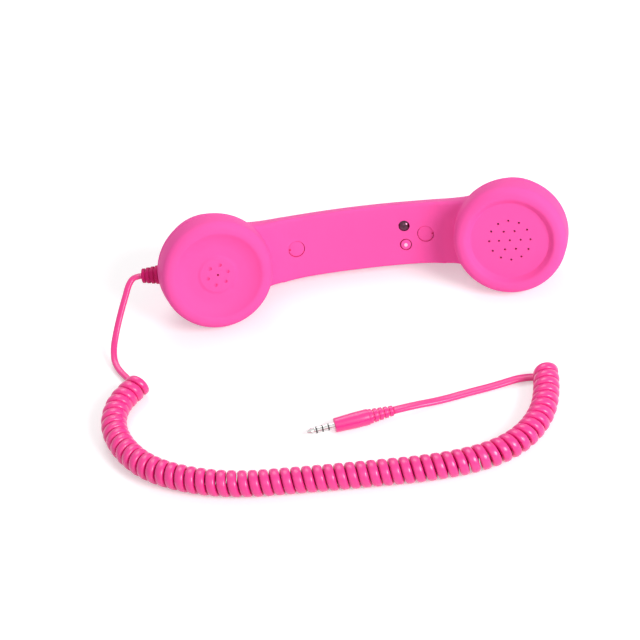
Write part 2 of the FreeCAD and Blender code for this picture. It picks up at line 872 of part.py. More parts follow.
weight_blank = doc.addObject("Part::Box", "weight_blank")
for edge, name in (("Length", "weight_length"), ("Width", "weight_width"), ("Height", "weight_height")):
    weight_blank.setExpression(edge, size(name).text)
weight_end = value("weight_place") - value("weight_length") / 2
weight_blank.Placement = Placement(
    Vector(weight_end, -value("weight_width") / 2, -value("pad_depth")), Rotation()
)
weight_holes = []
for index, reach in enumerate(pad_spots):
    hole = doc.addObject("Part::Cylinder", f"weight_hole_{index}")
    hole.setExpression("Radius", (size("weight_screw_shaft") / 2 + size("clearance")).text)
    hole.setExpression("Height", (size("weight_height") * 2).text)
    hole.Placement = Placement(Vector(reach, 0, -value("pad_depth") - value("weight_height") / 2), Rotation())
    weight_holes.append(hole)
weight_hole_pair = doc.addObject("Part::MultiFuse", "weight_hole_pair")
weight_hole_pair.Shapes = weight_holes
handle_weight = doc.addObject("Part::Cut", "handle_weight")
handle_weight.Base = weight_blank
handle_weight.Tool = weight_hole_pair
keep("handle_weight", handle_weight, Placement())
weight_screw = turned_body(
    "weight_screw",
    [
        (0, size("weight_screw_head_height")),
        (size("weight_screw_head") / 2, size("weight_screw_head_height")),
        (size("weight_screw_head") / 2, 0),
        (size("weight_screw_shaft") / 2, 0),
        (size("weight_screw_shaft") / 2, -(size("weight_height") + size("weight_screw_bite"))),
        (0, -(size("weight_height") + size("weight_screw_bite"))),
    ],
)
weight_top = -value("pad_depth") + value("weight_height")
copies("weight_screws", weight_screw, [Placement(Vector(r, 0, weight_top), Rotation()) for r in pad_spots])

# Ribbed strain relief on the speaking cup


def ribbed_corners(length, start, end, ribs, groove):
    """A tapering row of ribs with square grooves between them, from z = 0 up, by the names of its sizes."""
    corners = []
    bands = 2 * int(value(ribs)) - 1
    step = size(length) / bands
    for index in range(bands):
        for where in (index, index + 1):
            radius = (size(start) + (size(end) - size(start)) * (where / bands)) / 2
            if index % 2:
                radius = radius - size(groove)
            corners.append((radius, step * where))
    return corners


gland_lift = size("clearance")
gland_inner = -(size("wall") + size("assembly_gap") * 3)
gland_ribs = ribbed_corners("gland_length", "gland_base", "gland_tip", "gland_ribs", "gland_groove")
gland_ribs[0] = (gland_ribs[0][0], gland_lift)
cord_gland = turned_body(
    "cord_gland",
    [
        (0, gland_inner - size("gland_flange_thickness")),
        (size("gland_flange") / 2, gland_inner - size("gland_flange_thickness")),
        (size("gland_flange") / 2, gland_inner),
        (size("gland_neck") / 2, gland_inner),
        (size("gland_neck") / 2, gland_lift),
        *gland_ribs,
        (0, size("gland_length")),
    ],
)
keep("cord_gland", cord_gland, gland_place)

doc.recompute()

# The handset stood on the floor: leaned back on the cones of its cups, with its box centred on the origin

upright = Rotation(Vector(1, 0, 0), 90 - value("lean"))
tilt_angle = math.radians(tilt)
barrel_rise = value("barrel_depth") * math.cos(tilt_angle) * math.sin(lean)
cup_rise = value("cup_radius") * math.hypot(math.cos(lean), math.sin(tilt_angle) * math.sin(lean))
leaned = []
for label in ("front_shell", "back_shell", "earpiece_cap", "mouthpiece_cap"):
    shape = nodes[label].Shape.copy()
    shape.Placement = Placement(Vector(0, 0, 0), upright).multiply(handset_places[label])
    leaned.append(shape.optimalBoundingBox())
nearest = min(box.YMin for box in leaned)
furthest = max(box.YMax for box in leaned)
handset_place = Placement(Vector(0, -(nearest + furthest) / 2, barrel_rise + cup_rise), upright)
for label, place in handset_places.items():
    nodes[label].Placement = handset_place.multiply(place)
print("face line at", handset_place.Base, "lowest", min(box.ZMin for box in leaned) + barrel_rise + cup_rise)
gland_exit = handset_place.multiply(gland_place).multVec(Vector(0, 0, value("gland_length")))
print("gland exit", gland_exit)
doc.recompute()

# Cord: straight runs joined by tangent arcs

TRIM_SHARE = 0.45


def tube(points, diameter):
    """A round tube along a route, with each corner as round as its two runs allow."""
    edges = []
    radii = []
    start = points[0]
    for before, corner, after in zip(points, points[1:], points[2:]):
        back = before - corner
        ahead = after - corner
        turn = math.pi - back.getAngle(ahead)
        trim = TRIM_SHARE * min(back.Length, ahead.Length)
        radii.append(round(trim / math.tan(turn / 2), 1))
        back.normalize()
        ahead.normalize()
        enter = corner + back * trim
        leave = corner + ahead * trim
        inward = (back + ahead).normalize()
        centre_reach = trim / math.sin(turn / 2)
        middle = corner + inward * (centre_reach - trim / math.tan(turn / 2))
        edges.append(Part.makeLine(start, enter))
        edges.append(Part.Arc(enter, middle, leave).toShape())
        start = leave
    edges.append(Part.makeLine(start, points[-1]))
    path = Part.Wire(edges)
    section = Part.Wire(Part.makeCircle(diameter / 2, points[0], points[1] - points[0]))
    solid = path.makePipeShell([section], True, False)
    share = solid.Volume / (math.pi * diameter**2 / 4 * path.Length)
    print("tube", round(path.Length, 1), "mm, radii", radii, "volume share", round(share, 4))
    return solid


def row_points(route):
    return [Vector(*point) for point in route]


cord = value("cord_diameter")
lie = cord / 2

# Curls: a right-handed helix about an axis that lies in a wide bow on the floor

CURL_AXIS = [
    (-122.4, -68.0),
    (-129.4, -75.3),
    (-134.8, -85.5),
    (-135.7, -99.5),
    (-130.0, -115.3),
    (-118.1, -130.6),
    (-99.8, -141.6),
    (-76.0, -149.2),
    (-46.0, -151.0),
    (-14.0, -152.2),
    (20.0, -153.2),
    (45.8, -150.2),
    (63.6, -141.7),
    (75.4, -127.8),
    (81.8, -110.5),
    (83.6, -94.0),
]
curl_radius = value("curl_radius")
curl_count = int(value("curl_count"))
axis_height = curl_radius + lie
axis_poles = [Vector(x, y, axis_height) for x, y in CURL_AXIS]
axis_curve = Part.BSplineCurve()
knots = list(range(len(axis_poles) - 1))
axis_curve.buildFromPolesMultsKnots(axis_poles, [3] + [1] * (len(knots) - 2) + [3], knots, False, 2)
axis_length = axis_curve.length()
UP = Vector(0, 0, 1)
STEPS_PER_CURL = 24


def curl_point(turns):
    """The middle of the wire after a number of turns, counted from under the first curl."""
    along = axis_length * turns / curl_count
    parameter = axis_curve.parameterAtDistance(along, 0.0)
    forward = Vector(*axis_curve.tangent(parameter)[0])
    angle = math.pi + 2 * math.pi * turns
    side = forward.cross(UP)
    return axis_curve.value(parameter) + (UP * math.cos(angle) + side * math.sin(angle)) * curl_radius


def curl_tangent(turns):
    step = 1e-4
    low = max(turns - step, 0.0)
    high = min(turns + step, float(curl_count))
    return (curl_point(high) - curl_point(low)).normalize()


def tangent_arc(first, direction, last):
    """The arc from a point along a direction to another point."""
    chord = last - first
    across = direction - chord * (direction.dot(chord) / chord.dot(chord))
    bend = direction.getAngle(chord)
    middle = (first + last) * 0.5 + across.normalize() * (chord.Length / 2 * math.tan(bend / 2))
    return Part.Arc(first, middle, last).toShape()


def biarc(first, first_direction, last, last_direction):
    """Two tangent arcs between two points with their directions."""
    chord = last - first
    total = first_direction + last_direction
    spread = 2 * (1 - first_direction.dot(last_direction))
    linear = 2 * chord.dot(total)
    reach = (-linear + math.sqrt(linear**2 + 4 * spread * chord.dot(chord))) / (2 * spread)
    joint = (first + first_direction * reach + last - last_direction * reach) * 0.5
    opening = tangent_arc(first, first_direction, joint)
    closing = tangent_arc(last, last_direction * -1, joint)
    return [opening, closing]


HALF_TURNS = 2 * curl_count
stations = [(curl_point(i / 2), curl_tangent(i / 2)) for i in range(HALF_TURNS + 1)]
curl_start = stations[0][0] - stations[0][1] * cord
curl_stop = stations[-1][0] + stations[-1][1] * cord
curl_edges = [Part.makeLine(curl_start, stations[0][0])]
for (first, first_direction), (last, last_direction) in zip(stations, stations[1:]):
    curl_edges += biarc(first, first_direction, last, last_direction)
curl_edges.append(Part.makeLine(stations[-1][0], curl_stop))
curl_path = Part.Wire(Part.__sortEdges__(curl_edges))
curl_section = Part.Wire(Part.makeCircle(cord / 2, curl_start, stations[0][1]))
curls = curl_path.makePipeShell([curl_section], True, False)
curl_share = curls.Volume / (math.pi * cord**2 / 4 * curl_path.Length)
samples = [curl_point(i / STEPS_PER_CURL) for i in range(curl_count * STEPS_PER_CURL + 1)]
least_gap = min(
    samples[i].distanceToPoint(samples[j]) - cord
    for i in range(len(samples))
    for j in range(i + STEPS_PER_CURL // 2, min(i + 2 * STEPS_PER_CURL, len(samples)))
)
print("curls", round(axis_length, 1), "mm of axis,", round(curl_path.Length, 1), "mm of wire, pitch",
      round(axis_length / curl_count, 3), "least gap", round(least_gap, 3), "share", round(curl_share, 4),
      curls.isValid(), len(curls.Solids))
keep_on_floor("cord_curls", solid_node("cord_curls", curls))

# Lead from the strain relief down to the first curl

gland_direction = handset_place.multiply(gland_place).Rotation.multVec(UP)
EXIT_RUN = 4.6
HANDSET_LEAD = [
    (-126.2, -9.6, 27.0),
    (-128.6, -15.0, 23.0),
    (-131.9, -21.7, 17.6),
    (-135.2, -29.2, 11.2),
    (-137.6, -37.5, 5.6),
    (-136.8, -47.0, 2.3),
]
LAST_RUN = 10.0
lead_points = [gland_exit, gland_exit + gland_direction * EXIT_RUN]
lead_points += row_points(HANDSET_LEAD)
lead_points += [curl_start - stations[0][1] * LAST_RUN, curl_start]
keep_on_floor("handset_lead", solid_node("handset_lead", tube(lead_points, cord)))

# Lead from the last curl along the floor to the plug

PLUG_ENTRY = (4.7, -107.7)
plug_height = value("grip_start") / 2
plug_entry = Vector(*PLUG_ENTRY, plug_height)
plug_turn = math.radians(value("plug_turn"))
plug_direction = Vector(math.cos(plug_turn), math.sin(plug_turn), 0)
PLUG_LEAD = [
    (57.5, -95.9),
    (43.5, -98.6),
    (29.4, -101.9),
]
lead_points = [curl_stop, curl_stop + stations[-1][1] * LAST_RUN]
lead_points += [Vector(x, y, lie) for x, y in PLUG_LEAD]
lead_points += [plug_entry - plug_direction * LAST_RUN, plug_entry]
keep_on_floor("plug_lead", solid_node("plug_lead", tube(lead_points, cord)))

# Jack plug: ribbed relief, moulded grip and four contacts parted by insulators

plug_axis = Placement(plug_entry, Rotation(UP, plug_direction))


def along_plug(distance):
    return plug_axis.multiply(Placement(Vector(0, 0, distance), Rotation()))


relief_ribs = ribbed_corners("relief_length", "relief_start", "relief_end", "relief_ribs", "relief_groove")
plug_relief = turned_body("plug_relief", [(0, 0), *relief_ribs, (0, size("relief_length"))])
keep_on_floor("plug_relief", plug_relief, along_plug(0))

plug_grip = turned_body(
    "plug_grip",
    [
        (0, 0),
        (size("grip_start") / 2, 0),
        (size("grip_middle") / 2, size("grip_middle_at")),
        (size("grip_end") / 2, size("grip_length") - size("button_round")),
        (size("grip_end") / 2 - size("button_round"), size("grip_length")),
        (size("pin_core") / 2 + size("clearance"), size("grip_length")),
        (size("pin_core") / 2 + size("clearance"), size("grip_length") - size("pin_diameter")),
        (0, size("grip_length") - size("pin_diameter")),
    ],
)
pin_start = value("relief_length") + value("grip_length")
keep_on_floor("plug_grip", plug_grip, along_plug(value("relief_length")))

pin_half = size("pin_diameter") / 2
core_half = size("pin_core") / 2
bore_half = core_half + size("clearance") / 2
insulator = size("insulator_length")
contact = size("ring_length")
tip_start = size("pin_length") - size("tip_length")
ring_one_start = tip_start - insulator - contact
ring_two_start = ring_one_start - insulator - contact
sleeve_end = ring_two_start - insulator
core_bottom = -size("pin_diameter")
plug_sleeve = turned_body("plug_sleeve", ring_corners(bore_half, pin_half, sleeve_end, 0))
plug_ring_two = turned_body(
    "plug_ring_two", ring_corners(bore_half, pin_half, ring_two_start + contact, ring_two_start)
)
plug_ring_one = turned_body(
    "plug_ring_one", ring_corners(bore_half, pin_half, ring_one_start + contact, ring_one_start)
)
plug_tip = turned_body(
    "plug_tip",
    [
        (0, size("pin_length")),
        (size("tip_nose") / 2, size("pin_length")),
        (pin_half, tip_start + size("tip_swell_at")),
        (size("tip_waist") / 2, tip_start + size("tip_waist_at")),
        (pin_half, tip_start + size("tip_shoulder_at")),
        (pin_half, tip_start),
        (core_half, tip_start),
        (core_half, core_bottom),
        (0, core_bottom),
    ],
)
pin_place = along_plug(pin_start)
for label, body in (
    ("plug_sleeve", plug_sleeve),
    ("plug_ring_two", plug_ring_two),
    ("plug_ring_one", plug_ring_one),
    ("plug_tip", plug_tip),
):
    keep_on_floor(label, body, pin_place)
insulator_body = turned_body("plug_insulator", ring_corners(bore_half, pin_half, insulator, 0))
insulator_shapes = []
for start in (sleeve_end, ring_two_start + contact, ring_one_start + contact):
    shape = insulator_body.Shape.copy()
    shape.Placement = along_plug(pin_start + start.value)
    insulator_shapes.append(shape)
keep_on_floor("plug_insulators", solid_node("plug_insulators", Part.makeCompound(insulator_shapes)))

# Wiring inside the handset: the cord's tail to the board, and pairs to the speaker and the microphone

board_edge_in = shifted(button_place, board_middle - value("board_length") / 2 - gap, 0, board_bottom).Base
board_edge_out = shifted(button_place, board_middle + value("board_length") / 2 + gap, 0, board_bottom).Base
gland_end = (gland_inner - size("gland_flange_thickness")).value
tail_start = gland_place.multVec(Vector(0, 0, gland_end))
TAIL_RUN = 10.8
tail_next = gland_place.multVec(Vector(0, 0, gland_end - TAIL_RUN))
TAIL = [
    (-84.0, 3.0, -20.5),
    (-71.0, 6.5, -26.5),
    (-56.0, 9.0, -32.5),
    (-40.0, 9.9, -36.4),
    (-24.0, 9.7, -38.4),
    (-8.0, 9.2, -38.9),
]
tail_points = [tail_start, tail_next] + row_points(TAIL)
TAIL_ACROSS = 9.2
tail_points.append(Vector(board_edge_in.x, TAIL_ACROSS, board_edge_in.z + value("board_thickness") / 2))
cord_tail = tube(tail_points, cord)
keep("cord_tail", solid_node("cord_tail", cord_tail), Placement())

wire = value("wire_diameter")
boot_end = mouth_cup.multVec(Vector(0, 0, boot_bottom.value - gap - wire))
MICROPHONE_PAIR = [
    (-20.0, -9.6, -38.2),
    (-40.0, -9.8, -36.0),
    (-56.0, -8.4, -31.5),
    (-68.0, -4.6, -23.5),
]
SPEAKER_PAIR = [
    (40.0, -9.8, -36.6),
    (53.0, -8.6, -32.6),
    (64.0, -5.6, -26.0),
]


def wire_pair(label, ends, route):
    """Two thin wires side by side from the board to a sound part."""
    wires = []
    for side in (-wire, wire):
        points = [ends[0] + Vector(0, side, 0)]
        points += [Vector(x, y + side, z) for x, y, z in route]
        points.append(ends[1] + Vector(0, side, 0))
        wires.append(tube(points, wire))
    keep(label, solid_node(label, Part.makeCompound(wires)), Placement())


PAIR_ACROSS = -8.6
pair_across = Vector(0, PAIR_ACROSS, value("board_thickness") / 2)
magnet_side = ear_cup.multVec(
    Vector(-value("magnet_radius") - wire, 0, (speaker_floor - size("magnet_depth") / 2).value)
)
wire_pair("microphone_wires", (board_edge_in + pair_across, boot_end), MICROPHONE_PAIR)
wire_pair("speaker_wires", (board_edge_out + pair_across, magnet_side), SPEAKER_PAIR)
for label in ("cord_tail", "microphone_wires", "speaker_wires"):
    nodes[label].Placement = handset_place

doc.recompute()
for thing in doc.Objects:
    if "Invalid" in thing.State or "Error" in thing.State:
        raise ValueError(f"{thing.Name} failed")
for label, node in nodes.items():
    if node.Shape.isNull() or not node.Shape.isValid():
        raise ValueError(f"{label} has no valid shape")
for label, node in nodes.items():
    node.Shape.exportStep(f"parts/{label}.step")
    print(label, len(node.Shape.Solids), "solids", round(node.Shape.Volume, 1), "cubic mm")
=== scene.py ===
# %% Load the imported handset
import math

import bmesh
import bpy
from mathutils import Matrix, Vector


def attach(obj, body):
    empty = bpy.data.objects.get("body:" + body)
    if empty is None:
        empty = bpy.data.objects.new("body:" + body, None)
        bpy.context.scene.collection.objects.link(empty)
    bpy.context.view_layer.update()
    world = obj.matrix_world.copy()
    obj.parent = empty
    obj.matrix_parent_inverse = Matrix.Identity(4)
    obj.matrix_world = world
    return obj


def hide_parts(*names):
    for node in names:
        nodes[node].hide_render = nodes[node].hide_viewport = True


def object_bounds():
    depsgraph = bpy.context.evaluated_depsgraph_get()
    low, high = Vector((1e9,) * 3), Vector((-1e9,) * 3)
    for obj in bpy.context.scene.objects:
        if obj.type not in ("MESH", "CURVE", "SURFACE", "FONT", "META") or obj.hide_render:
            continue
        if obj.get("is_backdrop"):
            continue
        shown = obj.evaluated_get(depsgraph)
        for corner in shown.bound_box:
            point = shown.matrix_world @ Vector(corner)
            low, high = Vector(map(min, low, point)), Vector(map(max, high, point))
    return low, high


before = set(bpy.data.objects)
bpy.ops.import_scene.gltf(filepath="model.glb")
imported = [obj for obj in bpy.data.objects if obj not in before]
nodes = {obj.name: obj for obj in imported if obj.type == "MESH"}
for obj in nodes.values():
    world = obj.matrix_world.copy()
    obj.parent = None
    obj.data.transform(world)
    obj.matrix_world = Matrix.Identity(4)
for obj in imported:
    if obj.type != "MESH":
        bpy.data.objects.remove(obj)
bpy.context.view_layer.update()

MM = 0.001

# %% Helpers for objects
BODY = "handset"
MERGE = 1e-6


def in_scene(name, data):
    """A new object in the scene, at the origin."""
    piece = bpy.data.objects.new(name, data)
    bpy.context.scene.collection.objects.link(piece)
    return piece


def built(name, shape):
    """An object made from a shape, which is freed."""
    mesh = bpy.data.meshes.new(name)
    shape.to_mesh(mesh)
    shape.free()
    return in_scene(name, mesh)


def worked_out(piece):
    """A new mesh of what an object's curve or modifiers make."""
    bpy.context.view_layer.update()
    return bpy.data.meshes.new_from_object(piece.evaluated_get(bpy.context.evaluated_depsgraph_get()))


def stand_in(piece, slot, *names):
    """Shows a piece in place of some solids of the handset; the material slot is not used."""
    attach(piece, BODY)
    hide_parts(*names)
    print(piece.name, "faces:", len(piece.data.polygons))


print("pieces ride on", BODY)

# %% [markdown]
# The camera stands in front of the handset and looks down on it, as a person at a table would. A long
# lens keeps the two cups nearly the same size. The camera's turn is built from three plain turns: how
# far it looks down, how far it rolls, and how far it stands round the object.

# %% Camera
CAMERA_PLACE = Vector((-12.89, -728.18, 583.11)) * MM
CAMERA_LENS = 95.65
SENSOR_WIDTH = 36.0
LOOKING_DOWN = math.radians(39.7)
ROLL = math.radians(-7.49)
ROUND = math.radians(1.148)

camera_data = bpy.data.cameras.new("table_camera")
camera_data.lens = CAMERA_LENS
camera_data.sensor_width = SENSOR_WIDTH
camera = in_scene("table_camera", camera_data)
turn = (
    Matrix.Rotation(ROUND, 4, "Z")
    @ Matrix.Rotation(math.pi / 2 - LOOKING_DOWN, 4, "X")
    @ Matrix.Rotation(ROLL, 4, "Z")
)
camera.matrix_world = Matrix.Translation(CAMERA_PLACE) @ turn
bpy.context.scene.camera = camera
print("camera looks along", [round(v, 3) for v in -turn.col[2].xyz])

# %% [markdown]
# The cord is one flat, flexible lead. It leaves the ribbed relief on the speaking cup, drops to the
# table, winds into sixty springy curls and runs on, flat again, to the plug. Three smooth routes lay
# it out. Each is a spline through listed control points, so the cord has no corners.

# %% Routes of the cord
CORD_WIDTH = 4.6 * MM
HANDSET_LEAD_WIDTH = 3.4 * MM
PLUG_LEAD_WIDTH = 4.4 * MM
CURL_THICKNESS = 3.5 * MM
LEAD_THICKNESS = 2.6 * MM
CURL_RADIUS = 4.85 * MM
CURL_COUNT = 60
AXIS_HEIGHT = 6.65
LEAD_HEIGHT = 1.8
AXIS_STEPS = 40
LEAD_STEPS = 14
UP = Vector((0, 0, 1))
CURL_AXIS = [
    (-122.4, -68.0), (-129.4, -75.3), (-134.8, -85.5), (-135.7, -99.5), (-130.0, -115.3), (-118.1, -130.6),
    (-99.8, -141.6), (-76.0, -149.2), (-46.0, -151.0), (-14.0, -152.2), (20.0, -153.2), (45.8, -150.2),
    (63.6, -141.7), (75.4, -127.8), (81.8, -110.5), (83.6, -94.0),
]
GLAND_EXIT = (-118.41, -6.83, 29.14)
HANDSET_LEAD = [
    (-122.98, -6.36, 28.99), (-126.2, -9.6, 27.0), (-128.6, -15.0, 23.0), (-131.9, -21.7, 17.6),
    (-135.2, -29.2, 11.2), (-137.6, -37.5, 5.6), (-136.8, -47.0, 2.3),
]
PLUG_LEAD = [(57.5, -95.9), (43.5, -98.6), (29.4, -101.9)]
PLUG_ENTRY = (4.7, -107.7, 4.1)
PLUG_TURN = math.radians(191.0)
LAST_RUN = 10.0 * MM


def spline_points(name, points, resolution):
    """The points of a smooth open spline, read back from a curve that has no thickness."""
    data = bpy.data.curves.new(name, "CURVE")
    data.dimensions = "3D"
    data.resolution_u = resolution
    spline = data.splines.new("NURBS")
    spline.points.add(len(points) - 1)
    for control, place in zip(spline.points, points):
        control.co = (*place, 1.0)
    spline.order_u = 3
    spline.use_endpoint_u = True
    holder = in_scene(name, data)
    mesh = worked_out(holder)
    line = [v.co.copy() for v in mesh.vertices]
    bpy.data.objects.remove(holder)
    bpy.data.meshes.remove(mesh)
    return line


def millimetres(*places):
    """Places given in millimetres, as vectors in metres."""
    return [Vector(place) * MM for place in places]


axis_points = millimetres(*[(x, y, AXIS_HEIGHT) for x, y in CURL_AXIS])
axis_line = spline_points("curl_axis", axis_points, AXIS_STEPS)
axis_reach = [0.0]
for before, after in zip(axis_line, axis_line[1:]):
    axis_reach.append(axis_reach[-1] + (after - before).length)
print("curl axis", round(axis_reach[-1], 4), "m in", len(axis_line), "points")

# %% [markdown]
# A curl is a point that goes round the axis while it moves along it. At each step the script finds
# its place on the axis, the way the axis points there, and how far the curl has turned. The first
# curl starts and the last one ends under the coil, where the leads lie on the table.

# %% Curls
STEPS_PER_CURL = 36


def on_axis(distance):
    """A place on the curls' axis, with the direction of the axis there."""
    index = 0
    while index < len(axis_reach) - 2 and axis_reach[index + 1] < distance:
        index += 1
    run = axis_line[index + 1] - axis_line[index]
    share = (distance - axis_reach[index]) / run.length
    before = axis_line[max(index - 1, 0)]
    after = axis_line[min(index + 2, len(axis_line) - 1)]
    return axis_line[index] + run * share, (after - before).normalized()


curl_line = []
curl_out = []
for step in range(CURL_COUNT * STEPS_PER_CURL + 1):
    turns = step / STEPS_PER_CURL
    place, forward = on_axis(axis_reach[-1] * turns / CURL_COUNT)
    angle = math.pi + 2 * math.pi * turns
    out = UP * math.cos(angle) + forward.cross(UP) * math.sin(angle)
    curl_line.append(place + out * CURL_RADIUS)
    curl_out.append(out)
print("curls in", len(curl_line), "points")

# %% [markdown]
# The two leads join the curls in their own direction, made level, so that the cord runs on without a
# kink. At the plug, the lead ends straight along the plug's axis.

# %% Leads
LEVEL = Vector((1, 1, 0))
first_way = ((curl_line[1] - curl_line[0]) * LEVEL).normalized()
last_way = ((curl_line[-1] - curl_line[-2]) * LEVEL).normalized()
plug_way = Vector((math.cos(PLUG_TURN), math.sin(PLUG_TURN), 0))
plug_entry = Vector(PLUG_ENTRY) * MM
handset_lead = spline_points(
    "handset_lead_route",
    millimetres(GLAND_EXIT, *HANDSET_LEAD) + [curl_line[0] - first_way * LAST_RUN, curl_line[0]],
    LEAD_STEPS,
)
plug_lead = spline_points(
    "plug_lead_route",
    [curl_line[-1], curl_line[-1] + last_way * LAST_RUN]
    + millimetres(*[(x, y, LEAD_HEIGHT) for x, y in PLUG_LEAD])
    + [plug_entry - plug_way * LAST_RUN, plug_entry],
    LEAD_STEPS,
)
cord_line = handset_lead[:-1] + curl_line + plug_lead[1:]
cord_out = [-UP] * (len(handset_lead) - 1) + curl_out + [-UP] * (len(plug_lead) - 1)

# %% [markdown]
# The cord's skin starts as a flat grid, one row of squares for each step along the line. Each row is
# then bent into an oval round its point, with its broad side towards the coil's axis. The two long
# edges of the grid meet in a seam that is merged, and the two ends are filled. Over the first and
# last steps of the coil the section grows from that of the lead to that of the curls.

# %% Cord
CORD_SIDES = 16
SQUARENESS = 0.75
EASE_STEPS = 30


def squared(amount):
    """A sine or cosine pushed outwards, which makes an oval a little squarer."""
    return math.copysign(abs(amount) ** SQUARENESS, amount)


def oval_tube(name, line, outs, widths, thicknesses, sides):
    """A tube of oval section along a line; outs point across its broad face."""
    shape = bmesh.new()
    rows = len(line) - 1
    bmesh.ops.create_grid(shape, x_segments=rows, y_segments=sides, size=1.0)
    frames = []
    for index, point in enumerate(line):
        way = line[min(index + 1, rows)] - line[max(index - 1, 0)]
        side = way.cross(outs[index]).normalized()
        out = side.cross(way).normalized()
        frames.append((point, side * widths[index] / 2, out * thicknesses[index] / 2))
    for vertex in shape.verts:
        point, side, out = frames[round((vertex.co.x + 1) / 2 * rows)]
        angle = math.pi * (vertex.co.y + 1)
        vertex.co = point + side * squared(math.cos(angle)) + out * squared(math.sin(angle))
    bmesh.ops.remove_doubles(shape, verts=shape.verts, dist=MERGE)
    bmesh.ops.holes_fill(shape, edges=[e for e in shape.edges if e.is_boundary], sides=0)
    bmesh.ops.recalc_face_normals(shape, faces=shape.faces)
    for face in shape.faces:
        face.smooth = len(face.verts) == 4
    return built(name, shape)


widths = []
thicknesses = []
for step in range(len(cord_line)):
    inside = min(step - len(handset_lead) + 1, len(cord_line) - len(plug_lead) - step)
    share = min(max(inside / EASE_STEPS, 0.0), 1.0)
    lead_width = HANDSET_LEAD_WIDTH if step < len(cord_line) / 2 else PLUG_LEAD_WIDTH
    widths.append(lead_width + (CORD_WIDTH - lead_width) * share)
    thicknesses.append(LEAD_THICKNESS + (CURL_THICKNESS - LEAD_THICKNESS) * share)
curly_cord = oval_tube("curly_cord", cord_line, cord_out, widths, thicknesses, CORD_SIDES)
stand_in(curly_cord, "cord_pink", "handset_lead", "cord_curls", "plug_lead")

# %% [markdown]
# The handset has a frame of its own: x along the handle, y across it and z the way both faces look.
# It lies leaned back on the rims of its cups. Each cup tips a little towards the other, so that one
# face meets the ear and the other the mouth. Every piece below is modelled in such a frame and then
# put in its place.

# %% Places on the handset
FACE_SPAN = 154.9
CUP_TILT = math.radians(11.4)
LEAN = math.radians(18.0)
HANDSET_PLACE = (0.0, -19.081, 33.117)
handset_place = Matrix.Translation(Vector(HANDSET_PLACE) * MM) @ Matrix.Rotation(math.pi / 2 - LEAN, 4, "X")


def cup_place(side):
    """The frame of a cup's face: side is 1 at the ear and -1 at the mouth."""
    return Matrix.Translation((side * FACE_SPAN / 2 * MM, 0, 0)) @ Matrix.Rotation(-side * CUP_TILT, 4, "Y")


ear_place = cup_place(1)
mouth_place = cup_place(-1)
print("ear face centre", [round(v, 4) for v in (handset_place @ ear_place).translation])

# %% [markdown]
# A turned piece is drawn as half of its section: a few corners, some of them rounded with a vertex
# bevel. The section is then spun once round the z axis. Round drills are made the same size all the
# way down, and a boolean cuts with them. After each step, edges that turn sharply are marked, so that
# only the rest look smooth.

# %% Helpers for turned and cut pieces
TURN_STEPS = 120
ROUND_STEPS = 6
DRILL_SIDES = 40
SHARP_TURN = math.radians(38.0)


def section(shape, corners, closed=False):
    """A chain of edges through (across, up, rounding) corners in the xz plane, in millimetres."""
    points = [shape.verts.new((corner[0] * MM, 0, corner[1] * MM)) for corner in corners]
    pairs = list(zip(points, points[1:])) + ([(points[-1], points[0])] if closed else [])
    for pair in pairs:
        shape.edges.new(pair)
    for point, corner in zip(points, corners):
        if len(corner) == 3:
            bmesh.ops.bevel(
                shape, geom=[point], offset=corner[2] * MM, offset_type="OFFSET", affect="VERTICES",
                segments=ROUND_STEPS, profile=0.5, material=-1,
            )


def turned(corners):
    """A closed shape turned about the z axis; its section starts and ends on that axis."""
    shape = bmesh.new()
    section(shape, corners)
    bmesh.ops.spin(
        shape, geom=shape.verts[:] + shape.edges[:], cent=(0, 0, 0), axis=(0, 0, 1), angle=2 * math.pi,
        steps=TURN_STEPS, use_merge=True,
    )
    bmesh.ops.remove_doubles(shape, verts=shape.verts, dist=MERGE)
    bmesh.ops.recalc_face_normals(shape, faces=shape.faces)
    return shape


def smoothed(shape):
    """Makes a shape look smooth but for its sharp edges."""
    for face in shape.faces:
        face.smooth = True
    for edge in shape.edges:
        edge.smooth = len(edge.link_faces) == 2 and edge.calc_face_angle() < SHARP_TURN


def finished(name, shape, place):
    """An object of a shape in its place."""
    shape.transform(place)
    shape.normal_update()
    smoothed(shape)
    return built(name, shape)


def applied(piece):
    """Makes a piece's modifiers part of its mesh."""
    mesh = worked_out(piece)
    piece.modifiers.clear()
    piece.data = mesh
    return piece


def carved(piece, cutter, operation="DIFFERENCE"):
    """Cuts one piece with another, which is then thrown away."""
    cut = piece.modifiers.new("cut", "BOOLEAN")
    cut.operation = operation
    cut.solver = "EXACT"
    cut.object = cutter
    applied(piece)
    bpy.data.objects.remove(cutter)
    shape = bmesh.new()
    shape.from_mesh(piece.data)
    smoothed(shape)
    shape.to_mesh(piece.data)
    shape.free()


def drills(name, holes, place):
    """Round drills as (across, along, radius, top, bottom), in millimetres, in a frame."""
    shape = bmesh.new()
    for across, along, radius, top, bottom in holes:
        stand = Matrix.Translation(Vector((across, along, (top + bottom) / 2)) * MM)
        bmesh.ops.create_cone(
            shape, cap_ends=True, segments=DRILL_SIDES, radius1=radius * MM, radius2=radius * MM,
            depth=(top - bottom) * MM, matrix=stand,
        )
    return finished(name, shape, place)


def add_shape(shape, other):
    """Adds another shape, which is freed."""
    mesh = bpy.data.meshes.new("added")
    other.to_mesh(mesh)
    other.free()
    shape.from_mesh(mesh)
    bpy.data.meshes.remove(mesh)


print("helpers ready, rounding in", ROUND_STEPS, "steps")

# %% [markdown]
# The two caps are turned. Each has a plump rim that the head can rest on. The ear cap's dish is flat,
# with a rosette of nineteen sound holes. The mouth cap's dish is a shallow ring round a raised disc,
# which has one sound hole and six blind dimples. A hair-wide gap under the rim leaves the fine seam
# that the real caps show.

